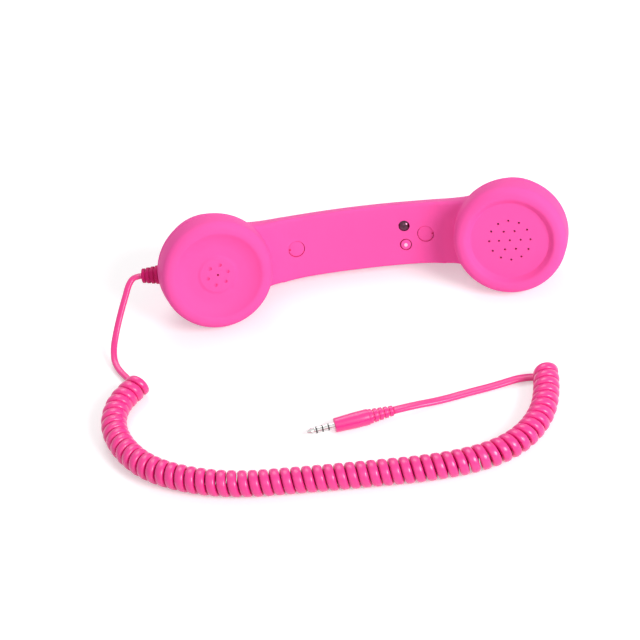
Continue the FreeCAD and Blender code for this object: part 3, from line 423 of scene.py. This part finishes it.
# %% Caps
CUP_RADIUS = 30.3
CAP_DEPTH = 11.0
CAP_SKIN = 2.4
CAP_BORE = 27.6
SEAM = 0.16
RIM_HEIGHT = 3.0
RIM = [
    (29.5, RIM_HEIGHT, 4.4), (CUP_RADIUS, -CAP_DEPTH + SEAM, 0.35),
    (CAP_BORE, -CAP_DEPTH + SEAM), (CAP_BORE, -CAP_SKIN), (0, -CAP_SKIN),
]
EAR_DISH = [(0, 0), (20.6, 0, 0.4), (23.3, RIM_HEIGHT, 1.0)]
MOUTH_DISH = [(0, 0), (9.4, 0, 0.5), (10.5, -0.6, 0.8), (19.2, -0.2, 4.2), (23.5, RIM_HEIGHT, 0.9)]
SOUND_HOLE = 0.62
HOLE_TOP = 2.0
HOLE_BOTTOM = -2 * CAP_SKIN
HOLE_RINGS = ((0, 1), (5.7, 6), (10.85, 12))
DIMPLE = 0.9
DIMPLE_COUNT = 6
DIMPLE_RING = 5.6
DIMPLE_TURN = math.radians(11)
DIMPLE_BOTTOM = -0.8


def ring_of_holes(radius, count, hole, bottom, first=0.0):
    """Drills for a ring of holes, the first of them at an angle."""
    turns = [first + 2 * math.pi * index / count for index in range(count)]
    return [(radius * math.cos(t), radius * math.sin(t), hole, HOLE_TOP, bottom) for t in turns]


sound_holes = []
for radius, count in HOLE_RINGS:
    sound_holes += ring_of_holes(radius, count, SOUND_HOLE, HOLE_BOTTOM)
mouth_holes = [(0, 0, SOUND_HOLE, HOLE_TOP, HOLE_BOTTOM)]
mouth_holes += ring_of_holes(DIMPLE_RING, DIMPLE_COUNT, DIMPLE, DIMPLE_BOTTOM, DIMPLE_TURN)
caps = []
for name, node, dish, holes, place in (
    ("ear_cap", "earpiece_cap", EAR_DISH, sound_holes, ear_place),
    ("mouth_cap", "mouthpiece_cap", MOUTH_DISH, mouth_holes, mouth_place),
):
    cap = finished(name, turned(dish + RIM), handset_place @ place)
    carved(cap, drills("cap_drills", holes, handset_place @ place))
    stand_in(cap, "soft_pink", node)
    caps.append(cap)

# %% [markdown]
# The grip flows into the cups with no edge, as moulded plastic does. So the two cups and the handle
# start as three plain overlapping forms, and a voxel remesh joins them into one skin. The same forms,
# made smaller, leave the hollow inside. Each station of the handle says how far along it lies, its
# half width at the inner face, and how deep its inner face and its back lie.

# %% Grip and cups as plain forms
BARREL_DEPTH = 14.0
CONE_DEPTH = 33.0
DOME_DEPTH = 43.0
DOME_STEPS = 8
WALL = 2.2
FRONT_CORNER = 2.2
BACK_CORNER = 7.7
INNER_CORNER = 1.0
SIDE_DRAFT = math.tan(math.radians(12.0))
GRIP_STATIONS = (
    (0, 17.8, 29.6, 51.0), (20, 17.8, 28.67, 50.05), (40, 17.8, 25.88, 47.19), (49, 18.7, 20.8, 45.8),
    (56, 19.6, 17.0, 44.6), (66, 20.5, 15.2, 42.5), (78, 19.0, 14.0, 35.0),
)
FLOW_LEVELS = 2
SKIN_VOXEL = 0.6 * MM
HOLLOW_VOXEL = 1.4 * MM
HOLLOW_DROP = 1.0
cone_slope = math.tan(math.asin(math.cos(CUP_TILT) * math.sin(LEAN)))


def cup_form(inset, top):
    """A cup behind its cap: barrel, cone and dome, drawn in by an inset."""
    radius = CUP_RADIUS - inset
    foot = radius - (CONE_DEPTH - BARREL_DEPTH) * cone_slope
    drop = DOME_DEPTH - inset - CONE_DEPTH
    dome = (foot**2 + drop**2) / (2 * drop)
    corners = [(0, top), (radius, top), (radius, -BARREL_DEPTH), (foot, -CONE_DEPTH)]
    for step in range(1, DOME_STEPS + 1):
        angle = math.asin(foot / dome) * (1 - step / DOME_STEPS)
        corners.append((dome * math.sin(angle), -DOME_DEPTH + inset + dome * (1 - math.cos(angle))))
    return turned(corners)


def grip_form(inset):
    """The handle as a row of rounded sections, bridged from one end to the other."""
    shape = bmesh.new()
    stations = [(-s[0], *s[1:]) for s in reversed(GRIP_STATIONS[1:])] + list(GRIP_STATIONS)
    before = None
    for reach, half, front, back in stations:
        broad = half - inset - inset * SIDE_DRAFT
        narrow = half - inset - (back - front - inset) * SIDE_DRAFT
        near = INNER_CORNER if inset else FRONT_CORNER
        far = BACK_CORNER - inset
        corners = [
            (broad, -front - inset, near), (-broad, -front - inset, near),
            (-narrow, -back + inset, far), (narrow, -back + inset, far),
        ]
        ring = bmesh.new()
        section(ring, corners, closed=True)
        ring.transform(Matrix.Translation((reach * MM, 0, 0)) @ Matrix.Rotation(math.pi / 2, 4, "Z"))
        known = set(shape.edges)
        add_shape(shape, ring)
        edges = [e for e in shape.edges if e not in known]
        if before:
            bmesh.ops.bridge_loops(shape, edges=before + edges)
        before = edges
    bmesh.ops.holes_fill(shape, edges=[e for e in shape.edges if e.is_boundary], sides=0)
    bmesh.ops.recalc_face_normals(shape, faces=shape.faces)
    return shape


def joined_skin(name, inset, top, voxel):
    """Both cups and the handle as one closed skin."""
    grip = finished(name, grip_form(inset), Matrix.Identity(4))
    flow = grip.modifiers.new("flow", "SUBSURF")
    flow.levels = flow.render_levels = FLOW_LEVELS
    applied(grip)
    shape = bmesh.new()
    shape.from_mesh(grip.data)
    for place in (ear_place, mouth_place):
        cup = cup_form(inset, top)
        cup.transform(place)
        add_shape(shape, cup)
    shape.to_mesh(grip.data)
    shape.free()
    melt = grip.modifiers.new("melt", "REMESH")
    melt.mode = "VOXEL"
    melt.voxel_size = voxel
    return applied(grip)


skin = joined_skin("handset_skin", 0.0, -CAP_DEPTH, SKIN_VOXEL)
hollow = joined_skin("handset_hollow", WALL, -CAP_DEPTH - HOLLOW_DROP, HOLLOW_VOXEL)
print("skin", len(skin.data.polygons), "faces, hollow", len(hollow.data.polygons))

# %% [markdown]
# Smoothing gives the soft valley between grip and cup. It is strong where the two meet and weak
# elsewhere, above all at the rims, where the caps sit. A vertex group holds that strength.

# %% Soften the valleys
VALLEY_RISE = (44.0, 54.0)
VALLEY_FALL = (73.0, 83.0)
RIM_GUARD = (12.5, 17.0)
WEAKEST = 0.015
SOFTENING = 420
SOFTENING_SHARE = 0.5


def ramp(amount, start, end):
    """A share that goes from 0 at the start to 1 at the end."""
    return min(max((amount - start) / (end - start), 0.0), 1.0)


strength = skin.vertex_groups.new(name="valley")
for vertex in skin.data.vertices:
    reach = abs(vertex.co.x) / MM
    cup = ear_place if vertex.co.x > 0 else mouth_place
    depth = -(cup.inverted() @ vertex.co).z / MM
    valley = ramp(reach, *VALLEY_RISE) * (1 - ramp(reach, *VALLEY_FALL))
    amount = WEAKEST + (1 - WEAKEST) * valley * ramp(depth, *RIM_GUARD)
    strength.add([vertex.index], amount, "REPLACE")
soften = skin.modifiers.new("soften", "SMOOTH")
soften.factor = SOFTENING_SHARE
soften.iterations = SOFTENING
soften.vertex_group = "valley"
applied(skin)
skin.vertex_groups.clear()
print("softened", len(skin.data.vertices), "points")

# %% [markdown]
# The hollow is turned inside out and joined to the skin, which makes a real wall. Drills then open
# the button holes and the round recesses over the case screws.

# %% Wall, button holes and recesses
ARCH_RADIUS = 215.0
HANDLE_FRONT = 29.6
COVER_REACH = 35.2
COVER_RADIUS = 4.3
COVER_GAP = 0.25
COVER_RECESS = 1.9
BUTTON_REACH = 24.1
BUTTON_OFFSET = 5.35
ANSWER_HOLE = 3.05
MUTE_HOLE = 3.3
DRILL_TOP = 6.0
BUTTON_BOTTOM = -5.0


def face_place(reach):
    """A frame on the arched inner face of the grip."""
    height = -HANDLE_FRONT + reach**2 / (2 * ARCH_RADIUS)
    arch = Matrix.Rotation(-math.atan(reach / ARCH_RADIUS), 4, "Y")
    return Matrix.Translation((reach * MM, 0, height * MM)) @ arch


wall_shape = bmesh.new()
wall_shape.from_mesh(hollow.data)
bmesh.ops.reverse_faces(wall_shape, faces=wall_shape.faces)
wall_shape.from_mesh(skin.data)
wall_shape.to_mesh(skin.data)
wall_shape.free()
bpy.data.objects.remove(hollow)
recess = (0, 0, COVER_RADIUS + COVER_GAP, DRILL_TOP, -COVER_RECESS)
for reach in (-COVER_REACH, COVER_REACH):
    carved(skin, drills("cover_drill", [recess], face_place(reach)))
button_holes = [
    (0, BUTTON_OFFSET, ANSWER_HOLE, DRILL_TOP, BUTTON_BOTTOM),
    (0, -BUTTON_OFFSET, MUTE_HOLE, DRILL_TOP, BUTTON_BOTTOM),
]
carved(skin, drills("button_drill", button_holes, face_place(BUTTON_REACH)))
print("drilled skin", len(skin.data.polygons), "faces")

# %% [markdown]
# The casing is then parted into a front and a back half, a hair apart, so that a seam runs along the
# sides of the grip. Each half is what the skin shares with a large block.

# %% Casing
PARTING_DEPTH = 37.0
PARTING_GAP = 0.1
FAR = 200.0


def half_space(name, low, high):
    """A large block between two heights of the handset's frame."""
    block = bmesh.new()
    stand = Matrix.Translation((0, 0, (low + high) / 2 * MM))
    extent = Matrix.Diagonal((2 * FAR * MM, FAR * MM, (high - low) * MM, 1))
    bmesh.ops.create_cube(block, size=1.0, matrix=stand @ extent)
    return finished(name, block, Matrix.Identity(4))


casing = []
for name, node, low, high in (
    ("front_casing", "front_shell", -PARTING_DEPTH + PARTING_GAP, FAR),
    ("back_casing", "back_shell", -FAR, -PARTING_DEPTH - PARTING_GAP),
):
    half = in_scene(name, skin.data.copy())
    carved(half, half_space("block", low, high), "INTERSECT")
    half.data.transform(handset_place)
    stand_in(half, "soft_pink", node)
    casing.append(half)
bpy.data.objects.remove(skin)

# %% [markdown]
# A round cover hides each case screw. It lies flush in its recess with a hair of room all round, and
# a small notch at its outer side takes a pick when it has to come out.

# %% Screw covers
COVER_THICKNESS = 1.4
COVER_ROUNDING = 0.3
NOTCH = 0.6
NOTCH_TOP = 1.0
NOTCH_BOTTOM = -1.2
COVER_DISC = [
    (0, 0), (COVER_RADIUS, 0, COVER_ROUNDING), (COVER_RADIUS, -COVER_THICKNESS), (0, -COVER_THICKNESS),
]
covers = []
for name, node, side in (
    ("mouth_end_cover", "screw_cover_mouth_end", -1),
    ("ear_end_cover", "screw_cover_ear_end", 1),
):
    place = face_place(side * COVER_REACH)
    cover = finished(name, turned(COVER_DISC), place)
    notch = (side * (COVER_RADIUS - NOTCH), 0, NOTCH, NOTCH_TOP, NOTCH_BOTTOM)
    carved(cover, drills("notch", [notch], place))
    cover.data.transform(handset_place)
    stand_in(cover, "soft_pink", node)
    covers.append(cover)

# %% [markdown]
# The cord's moulded ends are turned pieces too: the ribbed relief on the speaking cup, the plug's own
# relief and its grip. One rib is a short step out and back, with its edges eased. The ribs grow or
# shrink along the piece.

# %% Moulded ends of the cord
GLAND_DEPTH = 18.0
GLAND = dict(ribs=4, length=9.0, first=5.0, last=3.7, groove=0.95, ease=0.22)
PLUG_RELIEF = dict(ribs=5, length=12.6, first=2.7, last=3.9, groove=0.55, ease=0.2)
PLUG_GRIP = [(0, 0), (4.1, 0, 0.3), (4.1, 6.6, 2.5), (3.6, 17.6, 0.5), (0, 17.6)]
RIB_SHARE = 0.66


def ribbed(ribs, length, first, last, groove, ease):
    """The section of a ribbed sleeve, from its base at nought to its tip."""
    corners = [(0, 0)]
    pitch = length / (ribs - 1 + RIB_SHARE)
    for index in range(ribs):
        start = pitch * index
        end = start + pitch * RIB_SHARE
        radius = first + (last - first) * start / length
        corners += [(radius, start, ease), (radius, end, ease)]
        if index < ribs - 1:
            corners += [(radius - groove, end), (radius - groove, start + pitch)]
    return corners + [(0, length)]


gland_radius = CUP_RADIUS - (GLAND_DEPTH - BARREL_DEPTH) * cone_slope
gland_turn = Matrix.Rotation(-math.pi / 2 - math.atan(cone_slope), 4, "Y")
gland_place = mouth_place @ Matrix.Translation((-gland_radius * MM, 0, -GLAND_DEPTH * MM)) @ gland_turn
plug_place = Matrix.Translation(plug_entry) @ plug_way.to_track_quat("Z", "Y").to_matrix().to_4x4()
grip_place = plug_place @ Matrix.Translation((0, 0, PLUG_RELIEF["length"] * MM))
gland = finished("ribbed_gland", turned(ribbed(**GLAND)), handset_place @ gland_place)
plug_relief = finished("ribbed_plug_relief", turned(ribbed(**PLUG_RELIEF)), plug_place)
plug_grip = finished("moulded_plug_grip", turned(PLUG_GRIP), grip_place)
stand_in(gland, "relief_magenta", "cord_gland")
stand_in(plug_relief, "cord_pink", "plug_relief")
stand_in(plug_grip, "cord_pink", "plug_grip")

# %% [markdown]
# Most finishes here share one thing: a fine moulded grain. It is a shader node group with named
# inputs, built once. Its colour output drifts a little over the piece, and its height output feeds a
# bump.

# %% Moulded grain, shared by the plastics and the rubber
grain = bpy.data.node_groups.new("moulded_grain", "ShaderNodeTree")
for socket, way, kind in (
    ("Light Colour", "INPUT", "NodeSocketColor"),
    ("Deep Colour", "INPUT", "NodeSocketColor"),
    ("Drift Scale", "INPUT", "NodeSocketFloat"),
    ("Grain Scale", "INPUT", "NodeSocketFloat"),
    ("Smoothest", "INPUT", "NodeSocketFloat"),
    ("Roughest", "INPUT", "NodeSocketFloat"),
    ("Colour", "OUTPUT", "NodeSocketColor"),
    ("Roughness", "OUTPUT", "NodeSocketFloat"),
    ("Height", "OUTPUT", "NodeSocketFloat"),
):
    grain.interface.new_socket(socket, in_out=way, socket_type=kind)
inlet = grain.nodes.new("NodeGroupInput")
outlet = grain.nodes.new("NodeGroupOutput")
where = grain.nodes.new("ShaderNodeTexCoord")
drift = grain.nodes.new("ShaderNodeTexNoise")
drift.inputs["Detail"].default_value = 3.0
pores = grain.nodes.new("ShaderNodeTexNoise")
pores.inputs["Detail"].default_value = 2.0
tint = grain.nodes.new("ShaderNodeMix")
tint.data_type = "RGBA"
polish = grain.nodes.new("ShaderNodeMapRange")
for start, end in (
    (where.outputs["Object"], drift.inputs["Vector"]),
    (where.outputs["Object"], pores.inputs["Vector"]),
    (inlet.outputs["Drift Scale"], drift.inputs["Scale"]),
    (inlet.outputs["Grain Scale"], pores.inputs["Scale"]),
    (drift.outputs["Fac"], tint.inputs["Factor"]),
    (inlet.outputs["Light Colour"], tint.inputs["A"]),
    (inlet.outputs["Deep Colour"], tint.inputs["B"]),
    (tint.outputs["Result"], outlet.inputs["Colour"]),
    (pores.outputs["Fac"], polish.inputs["Value"]),
    (inlet.outputs["Smoothest"], polish.inputs["To Min"]),
    (inlet.outputs["Roughest"], polish.inputs["To Max"]),
    (polish.outputs["Result"], outlet.inputs["Roughness"]),
    (pores.outputs["Fac"], outlet.inputs["Height"]),
):
    grain.links.new(start, end)
print("grain group has", len(grain.nodes), "nodes")

# %% [markdown]
# Each finish is a Principled shader fed by the grain group. The soft-touch paint of the handset is
# matt, with a faint sheen at grazing angles. The cord is smoother and shinier. The relief on the cup
# is the cord's pink made deeper, as painted shade for the shadow it sits in.

# %% Finishes made with the grain
GRAIN_DEPTH = 0.1 * MM


def new_finish(name):
    """A new material, with its node tree and its Principled shader."""
    material = bpy.data.materials.new(name)
    material.use_nodes = True
    return material, material.node_tree, material.node_tree.nodes["Principled BSDF"]


def grained(
    name, light, deep, smoothest, roughest, drift_scale=35.0, grain_scale=2600.0, bump=0.08, also=()
):
    """A moulded finish whose colour and gloss change a little over the piece."""
    material, tree, shader = new_finish(name)
    group = tree.nodes.new("ShaderNodeGroup")
    group.node_tree = grain
    for socket, amount in (
        ("Light Colour", (*light, 1)),
        ("Deep Colour", (*deep, 1)),
        ("Drift Scale", drift_scale),
        ("Grain Scale", grain_scale),
        ("Smoothest", smoothest),
        ("Roughest", roughest),
    ):
        group.inputs[socket].default_value = amount
    for socket, amount in also:
        shader.inputs[socket].default_value = amount
    dent = tree.nodes.new("ShaderNodeBump")
    dent.inputs["Strength"].default_value = bump
    dent.inputs["Distance"].default_value = GRAIN_DEPTH
    tree.links.new(group.outputs["Colour"], shader.inputs["Base Color"])
    tree.links.new(group.outputs["Roughness"], shader.inputs["Roughness"])
    tree.links.new(group.outputs["Height"], dent.inputs["Height"])
    tree.links.new(dent.outputs["Normal"], shader.inputs["Normal"])
    return material


soft_pink = grained(
    "soft_touch_pink", (0.99, 0.11, 0.44), (0.98, 0.096, 0.41), 0.52, 0.66,
    also=(
        ("Specular IOR Level", 0.1),
        ("Sheen Weight", 0.03),
        ("Sheen Roughness", 0.4),
        ("Sheen Tint", (1.0, 0.55, 0.8, 1)),
    ),
)
cord_pink = grained(
    "cord_pink", (0.9, 0.03, 0.28), (0.86, 0.023, 0.25), 0.24, 0.36, bump=0.05,
    also=(("Coat Weight", 0.45), ("Coat Roughness", 0.28)),
)
# Painted shade: the cord's pink darkened for the shadow that the relief on the cup sits in.
relief_magenta = grained(
    "relief_magenta", (0.62, 0.005, 0.15), (0.54, 0.004, 0.12), 0.4, 0.55,
    also=(("Specular IOR Level", 0.2),),
)
# Painted highlight: the pip is pale pink where light shines on the mute button's domed centre.
pale_pip = grained("pale_pip", (1.0, 0.62, 0.82), (0.97, 0.55, 0.78), 0.2, 0.3)
plug_black = grained("plug_black", (0.018, 0.018, 0.02), (0.012, 0.012, 0.014), 0.3, 0.45)
inner_black = grained("inner_black", (0.04, 0.04, 0.044), (0.025, 0.025, 0.03), 0.45, 0.6)
foam_black = grained("foam_black", (0.05, 0.05, 0.05), (0.03, 0.03, 0.03), 0.8, 0.95, bump=0.4)
gauze_grey = grained("gauze_grey", (0.10, 0.10, 0.11), (0.05, 0.05, 0.055), 0.6, 0.8, grain_scale=4000)
cone_film = grained("cone_film", (0.55, 0.5, 0.42), (0.48, 0.43, 0.36), 0.4, 0.55)
board_green = grained("board_green", (0.05, 0.25, 0.1), (0.04, 0.2, 0.08), 0.25, 0.4)
wire_red = grained("wire_red", (0.6, 0.05, 0.05), (0.5, 0.03, 0.03), 0.3, 0.45)
print("materials so far:", len(bpy.data.materials))

# %% [markdown]
# Metals take their look from what they mirror. The answer button is dark plating on a dome, its tint
# made pink as a painted reflection of the pink handset, and the plug's contacts are bright nickel.
# Fine noise makes their gloss a little uneven, as handling does.


# %% Metals
def metal(name, colour, worn_colour, smoothest, roughest, scale):
    """A metal whose gloss and colour change in fine patches."""
    material, tree, shader = new_finish(name)
    shader.inputs["Metallic"].default_value = 1.0
    where = tree.nodes.new("ShaderNodeTexCoord")
    patches = tree.nodes.new("ShaderNodeTexNoise")
    patches.inputs["Scale"].default_value = scale
    patches.inputs["Detail"].default_value = 4.0
    tint = tree.nodes.new("ShaderNodeMix")
    tint.data_type = "RGBA"
    tint.inputs["A"].default_value = (*colour, 1)
    tint.inputs["B"].default_value = (*worn_colour, 1)
    gloss = tree.nodes.new("ShaderNodeMapRange")
    gloss.inputs["To Min"].default_value = smoothest
    gloss.inputs["To Max"].default_value = roughest
    for start, end in (
        (where.outputs["Object"], patches.inputs["Vector"]),
        (patches.outputs["Fac"], tint.inputs["Factor"]),
        (patches.outputs["Fac"], gloss.inputs["Value"]),
        (tint.outputs["Result"], shader.inputs["Base Color"]),
        (gloss.outputs["Result"], shader.inputs["Roughness"]),
    ):
        tree.links.new(start, end)
    return material


# The answer button's pink tint is a painted reflection of the pink handset round it.
dark_chrome = metal("dark_chrome", (0.13, 0.055, 0.085), (0.09, 0.035, 0.06), 0.1, 0.2, 600.0)
plug_nickel = metal("plug_nickel", (0.74, 0.73, 0.72), (0.62, 0.61, 0.6), 0.14, 0.28, 900.0)
zinc_steel = metal("zinc_steel", (0.56, 0.57, 0.6), (0.48, 0.49, 0.5), 0.25, 0.45, 400.0)
capsule_tin = metal("capsule_tin", (0.7, 0.7, 0.72), (0.6, 0.6, 0.62), 0.3, 0.4, 500.0)
print("materials in all:", len(bpy.data.materials))

# %% [markdown]
# Every solid of the frame that still shows gets the finish of the real piece, and so do the pieces
# made above. A list for each finish keeps this easy to read.

# %% Dress the frame
FINISHES = (
    (soft_pink, ["mute_button"]),
    # The pip's pale pink is a painted highlight.
    (pale_pip, ["mute_pip"]),
    # The answer button's pink tint is a painted reflection.
    (dark_chrome, ["answer_button"]),
    (cord_pink, ["cord_tail"]),
    (plug_nickel, ["plug_sleeve", "plug_ring_two", "plug_ring_one", "plug_tip"]),
    (plug_black, ["plug_insulators"]),
    (inner_black, ["speaker_frame", "answer_plunger", "mute_plunger", "answer_switch", "mute_switch"]),
    (foam_black, ["speaker_gasket", "microphone_boot"]),
    (gauze_grey, ["earpiece_gauze", "mouthpiece_gauze"]),
    (cone_film, ["speaker_cone"]),
    (zinc_steel, ["speaker_magnet", "case_screws", "board_screws", "handle_weight", "weight_screws"]),
    (capsule_tin, ["microphone_capsule"]),
    (board_green, ["circuit_board"]),
    (wire_red, ["microphone_wires", "speaker_wires"]),
)


def wear(piece, material):
    """Gives a piece one finish, in place of any it had."""
    piece.data.materials.clear()
    piece.data.materials.append(material)


for material, names in FINISHES:
    for name in names:
        wear(nodes[name], material)
# The relief's deeper pink is painted shade.
wear(gland, relief_magenta)
for piece in (curly_cord, plug_relief, plug_grip):
    wear(piece, cord_pink)
for piece in caps + casing + covers:
    wear(piece, soft_pink)
print("dressed", sum(len(names) for _, names in FINISHES), "solids")

# %% [markdown]
# The table is a plain white sheet. A little of its own light, seen only by the camera and in
# reflections, lifts it to white and leaves the soft shadows that show where the handset lies.

# %% Table
TABLE_HALF = 3.0
TABLE_DROP = 0.05 * MM
TABLE_COLOUR = (0.84, 0.84, 0.84, 1)
TABLE_ROUGHNESS = 0.8
TABLE_GLOW = 0.36
WHITE = (1, 1, 1, 1)


def seen_directly(tree):
    """A value of 1 for rays from the camera, and for those that metal or glass sends on."""
    rays = tree.nodes.new("ShaderNodeLightPath")
    either = tree.nodes.new("ShaderNodeMath")
    either.operation = "MAXIMUM"
    any_of = tree.nodes.new("ShaderNodeMath")
    any_of.operation = "MAXIMUM"
    tree.links.new(rays.outputs["Is Camera Ray"], either.inputs[0])
    tree.links.new(rays.outputs["Is Glossy Ray"], either.inputs[1])
    tree.links.new(either.outputs[0], any_of.inputs[0])
    tree.links.new(rays.outputs["Is Transmission Ray"], any_of.inputs[1])
    return any_of.outputs[0]


table_shape = bmesh.new()
bmesh.ops.create_grid(table_shape, x_segments=1, y_segments=1, size=TABLE_HALF)
bmesh.ops.translate(table_shape, verts=table_shape.verts, vec=(0, 0, -TABLE_DROP))
table = built("table", table_shape)
table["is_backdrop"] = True
table_paper, tree, shader = new_finish("table_paper")
shader.inputs["Base Color"].default_value = TABLE_COLOUR
shader.inputs["Roughness"].default_value = TABLE_ROUGHNESS
shader.inputs["Specular IOR Level"].default_value = 0.0
shader.inputs["Emission Color"].default_value = WHITE
glow = tree.nodes.new("ShaderNodeMath")
glow.operation = "MULTIPLY"
glow.inputs[1].default_value = TABLE_GLOW
tree.links.new(seen_directly(tree), glow.inputs[0])
tree.links.new(glow.outputs[0], shader.inputs["Emission Strength"])
wear(table, table_paper)
print("table is", 2 * TABLE_HALF, "m wide")

# %% [markdown]
# Three large soft lamps light the table: the strongest from the front and right, one from above and
# behind that draws a light line along the top of the grip, and a weak one from the front. White
# surroundings give the rest.

# %% Light
SURROUNDINGS = 0.44
LAMPS = (
    ("key_lamp", (0.8, -0.9, 0.8), 0.6, 14.0),
    ("top_lamp", (-0.1, 0.6, 1.0), 0.7, 4.0),
    ("fill_lamp", (-0.2, -1.0, 0.9), 0.8, 1.4),
)
AIM = Vector((0, -0.06, 0.02))

world = bpy.data.worlds.new("studio")
bpy.context.scene.world = world
world.use_nodes = True
tree = world.node_tree
sky = tree.nodes["Background"]
sky.inputs["Color"].default_value = WHITE
lift = tree.nodes.new("ShaderNodeMapRange")
lift.inputs["To Min"].default_value = SURROUNDINGS
lift.inputs["To Max"].default_value = 1.0
tree.links.new(seen_directly(tree), lift.inputs["Value"])
tree.links.new(lift.outputs["Result"], sky.inputs["Strength"])
for name, place, width, power in LAMPS:
    lamp_data = bpy.data.lights.new(name, "AREA")
    lamp_data.shape = "DISK"
    lamp_data.size = width
    lamp_data.energy = power
    lamp = in_scene(name, lamp_data)
    lamp.location = place
    lamp.rotation_mode = "QUATERNION"
    lamp.rotation_quaternion = (AIM - Vector(place)).to_track_quat("-Z", "Y")
bpy.context.scene.view_settings.view_transform = "Standard"
print("lamps:", [name for name, *_ in LAMPS])

# %% Sizes, and the end
low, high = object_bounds()
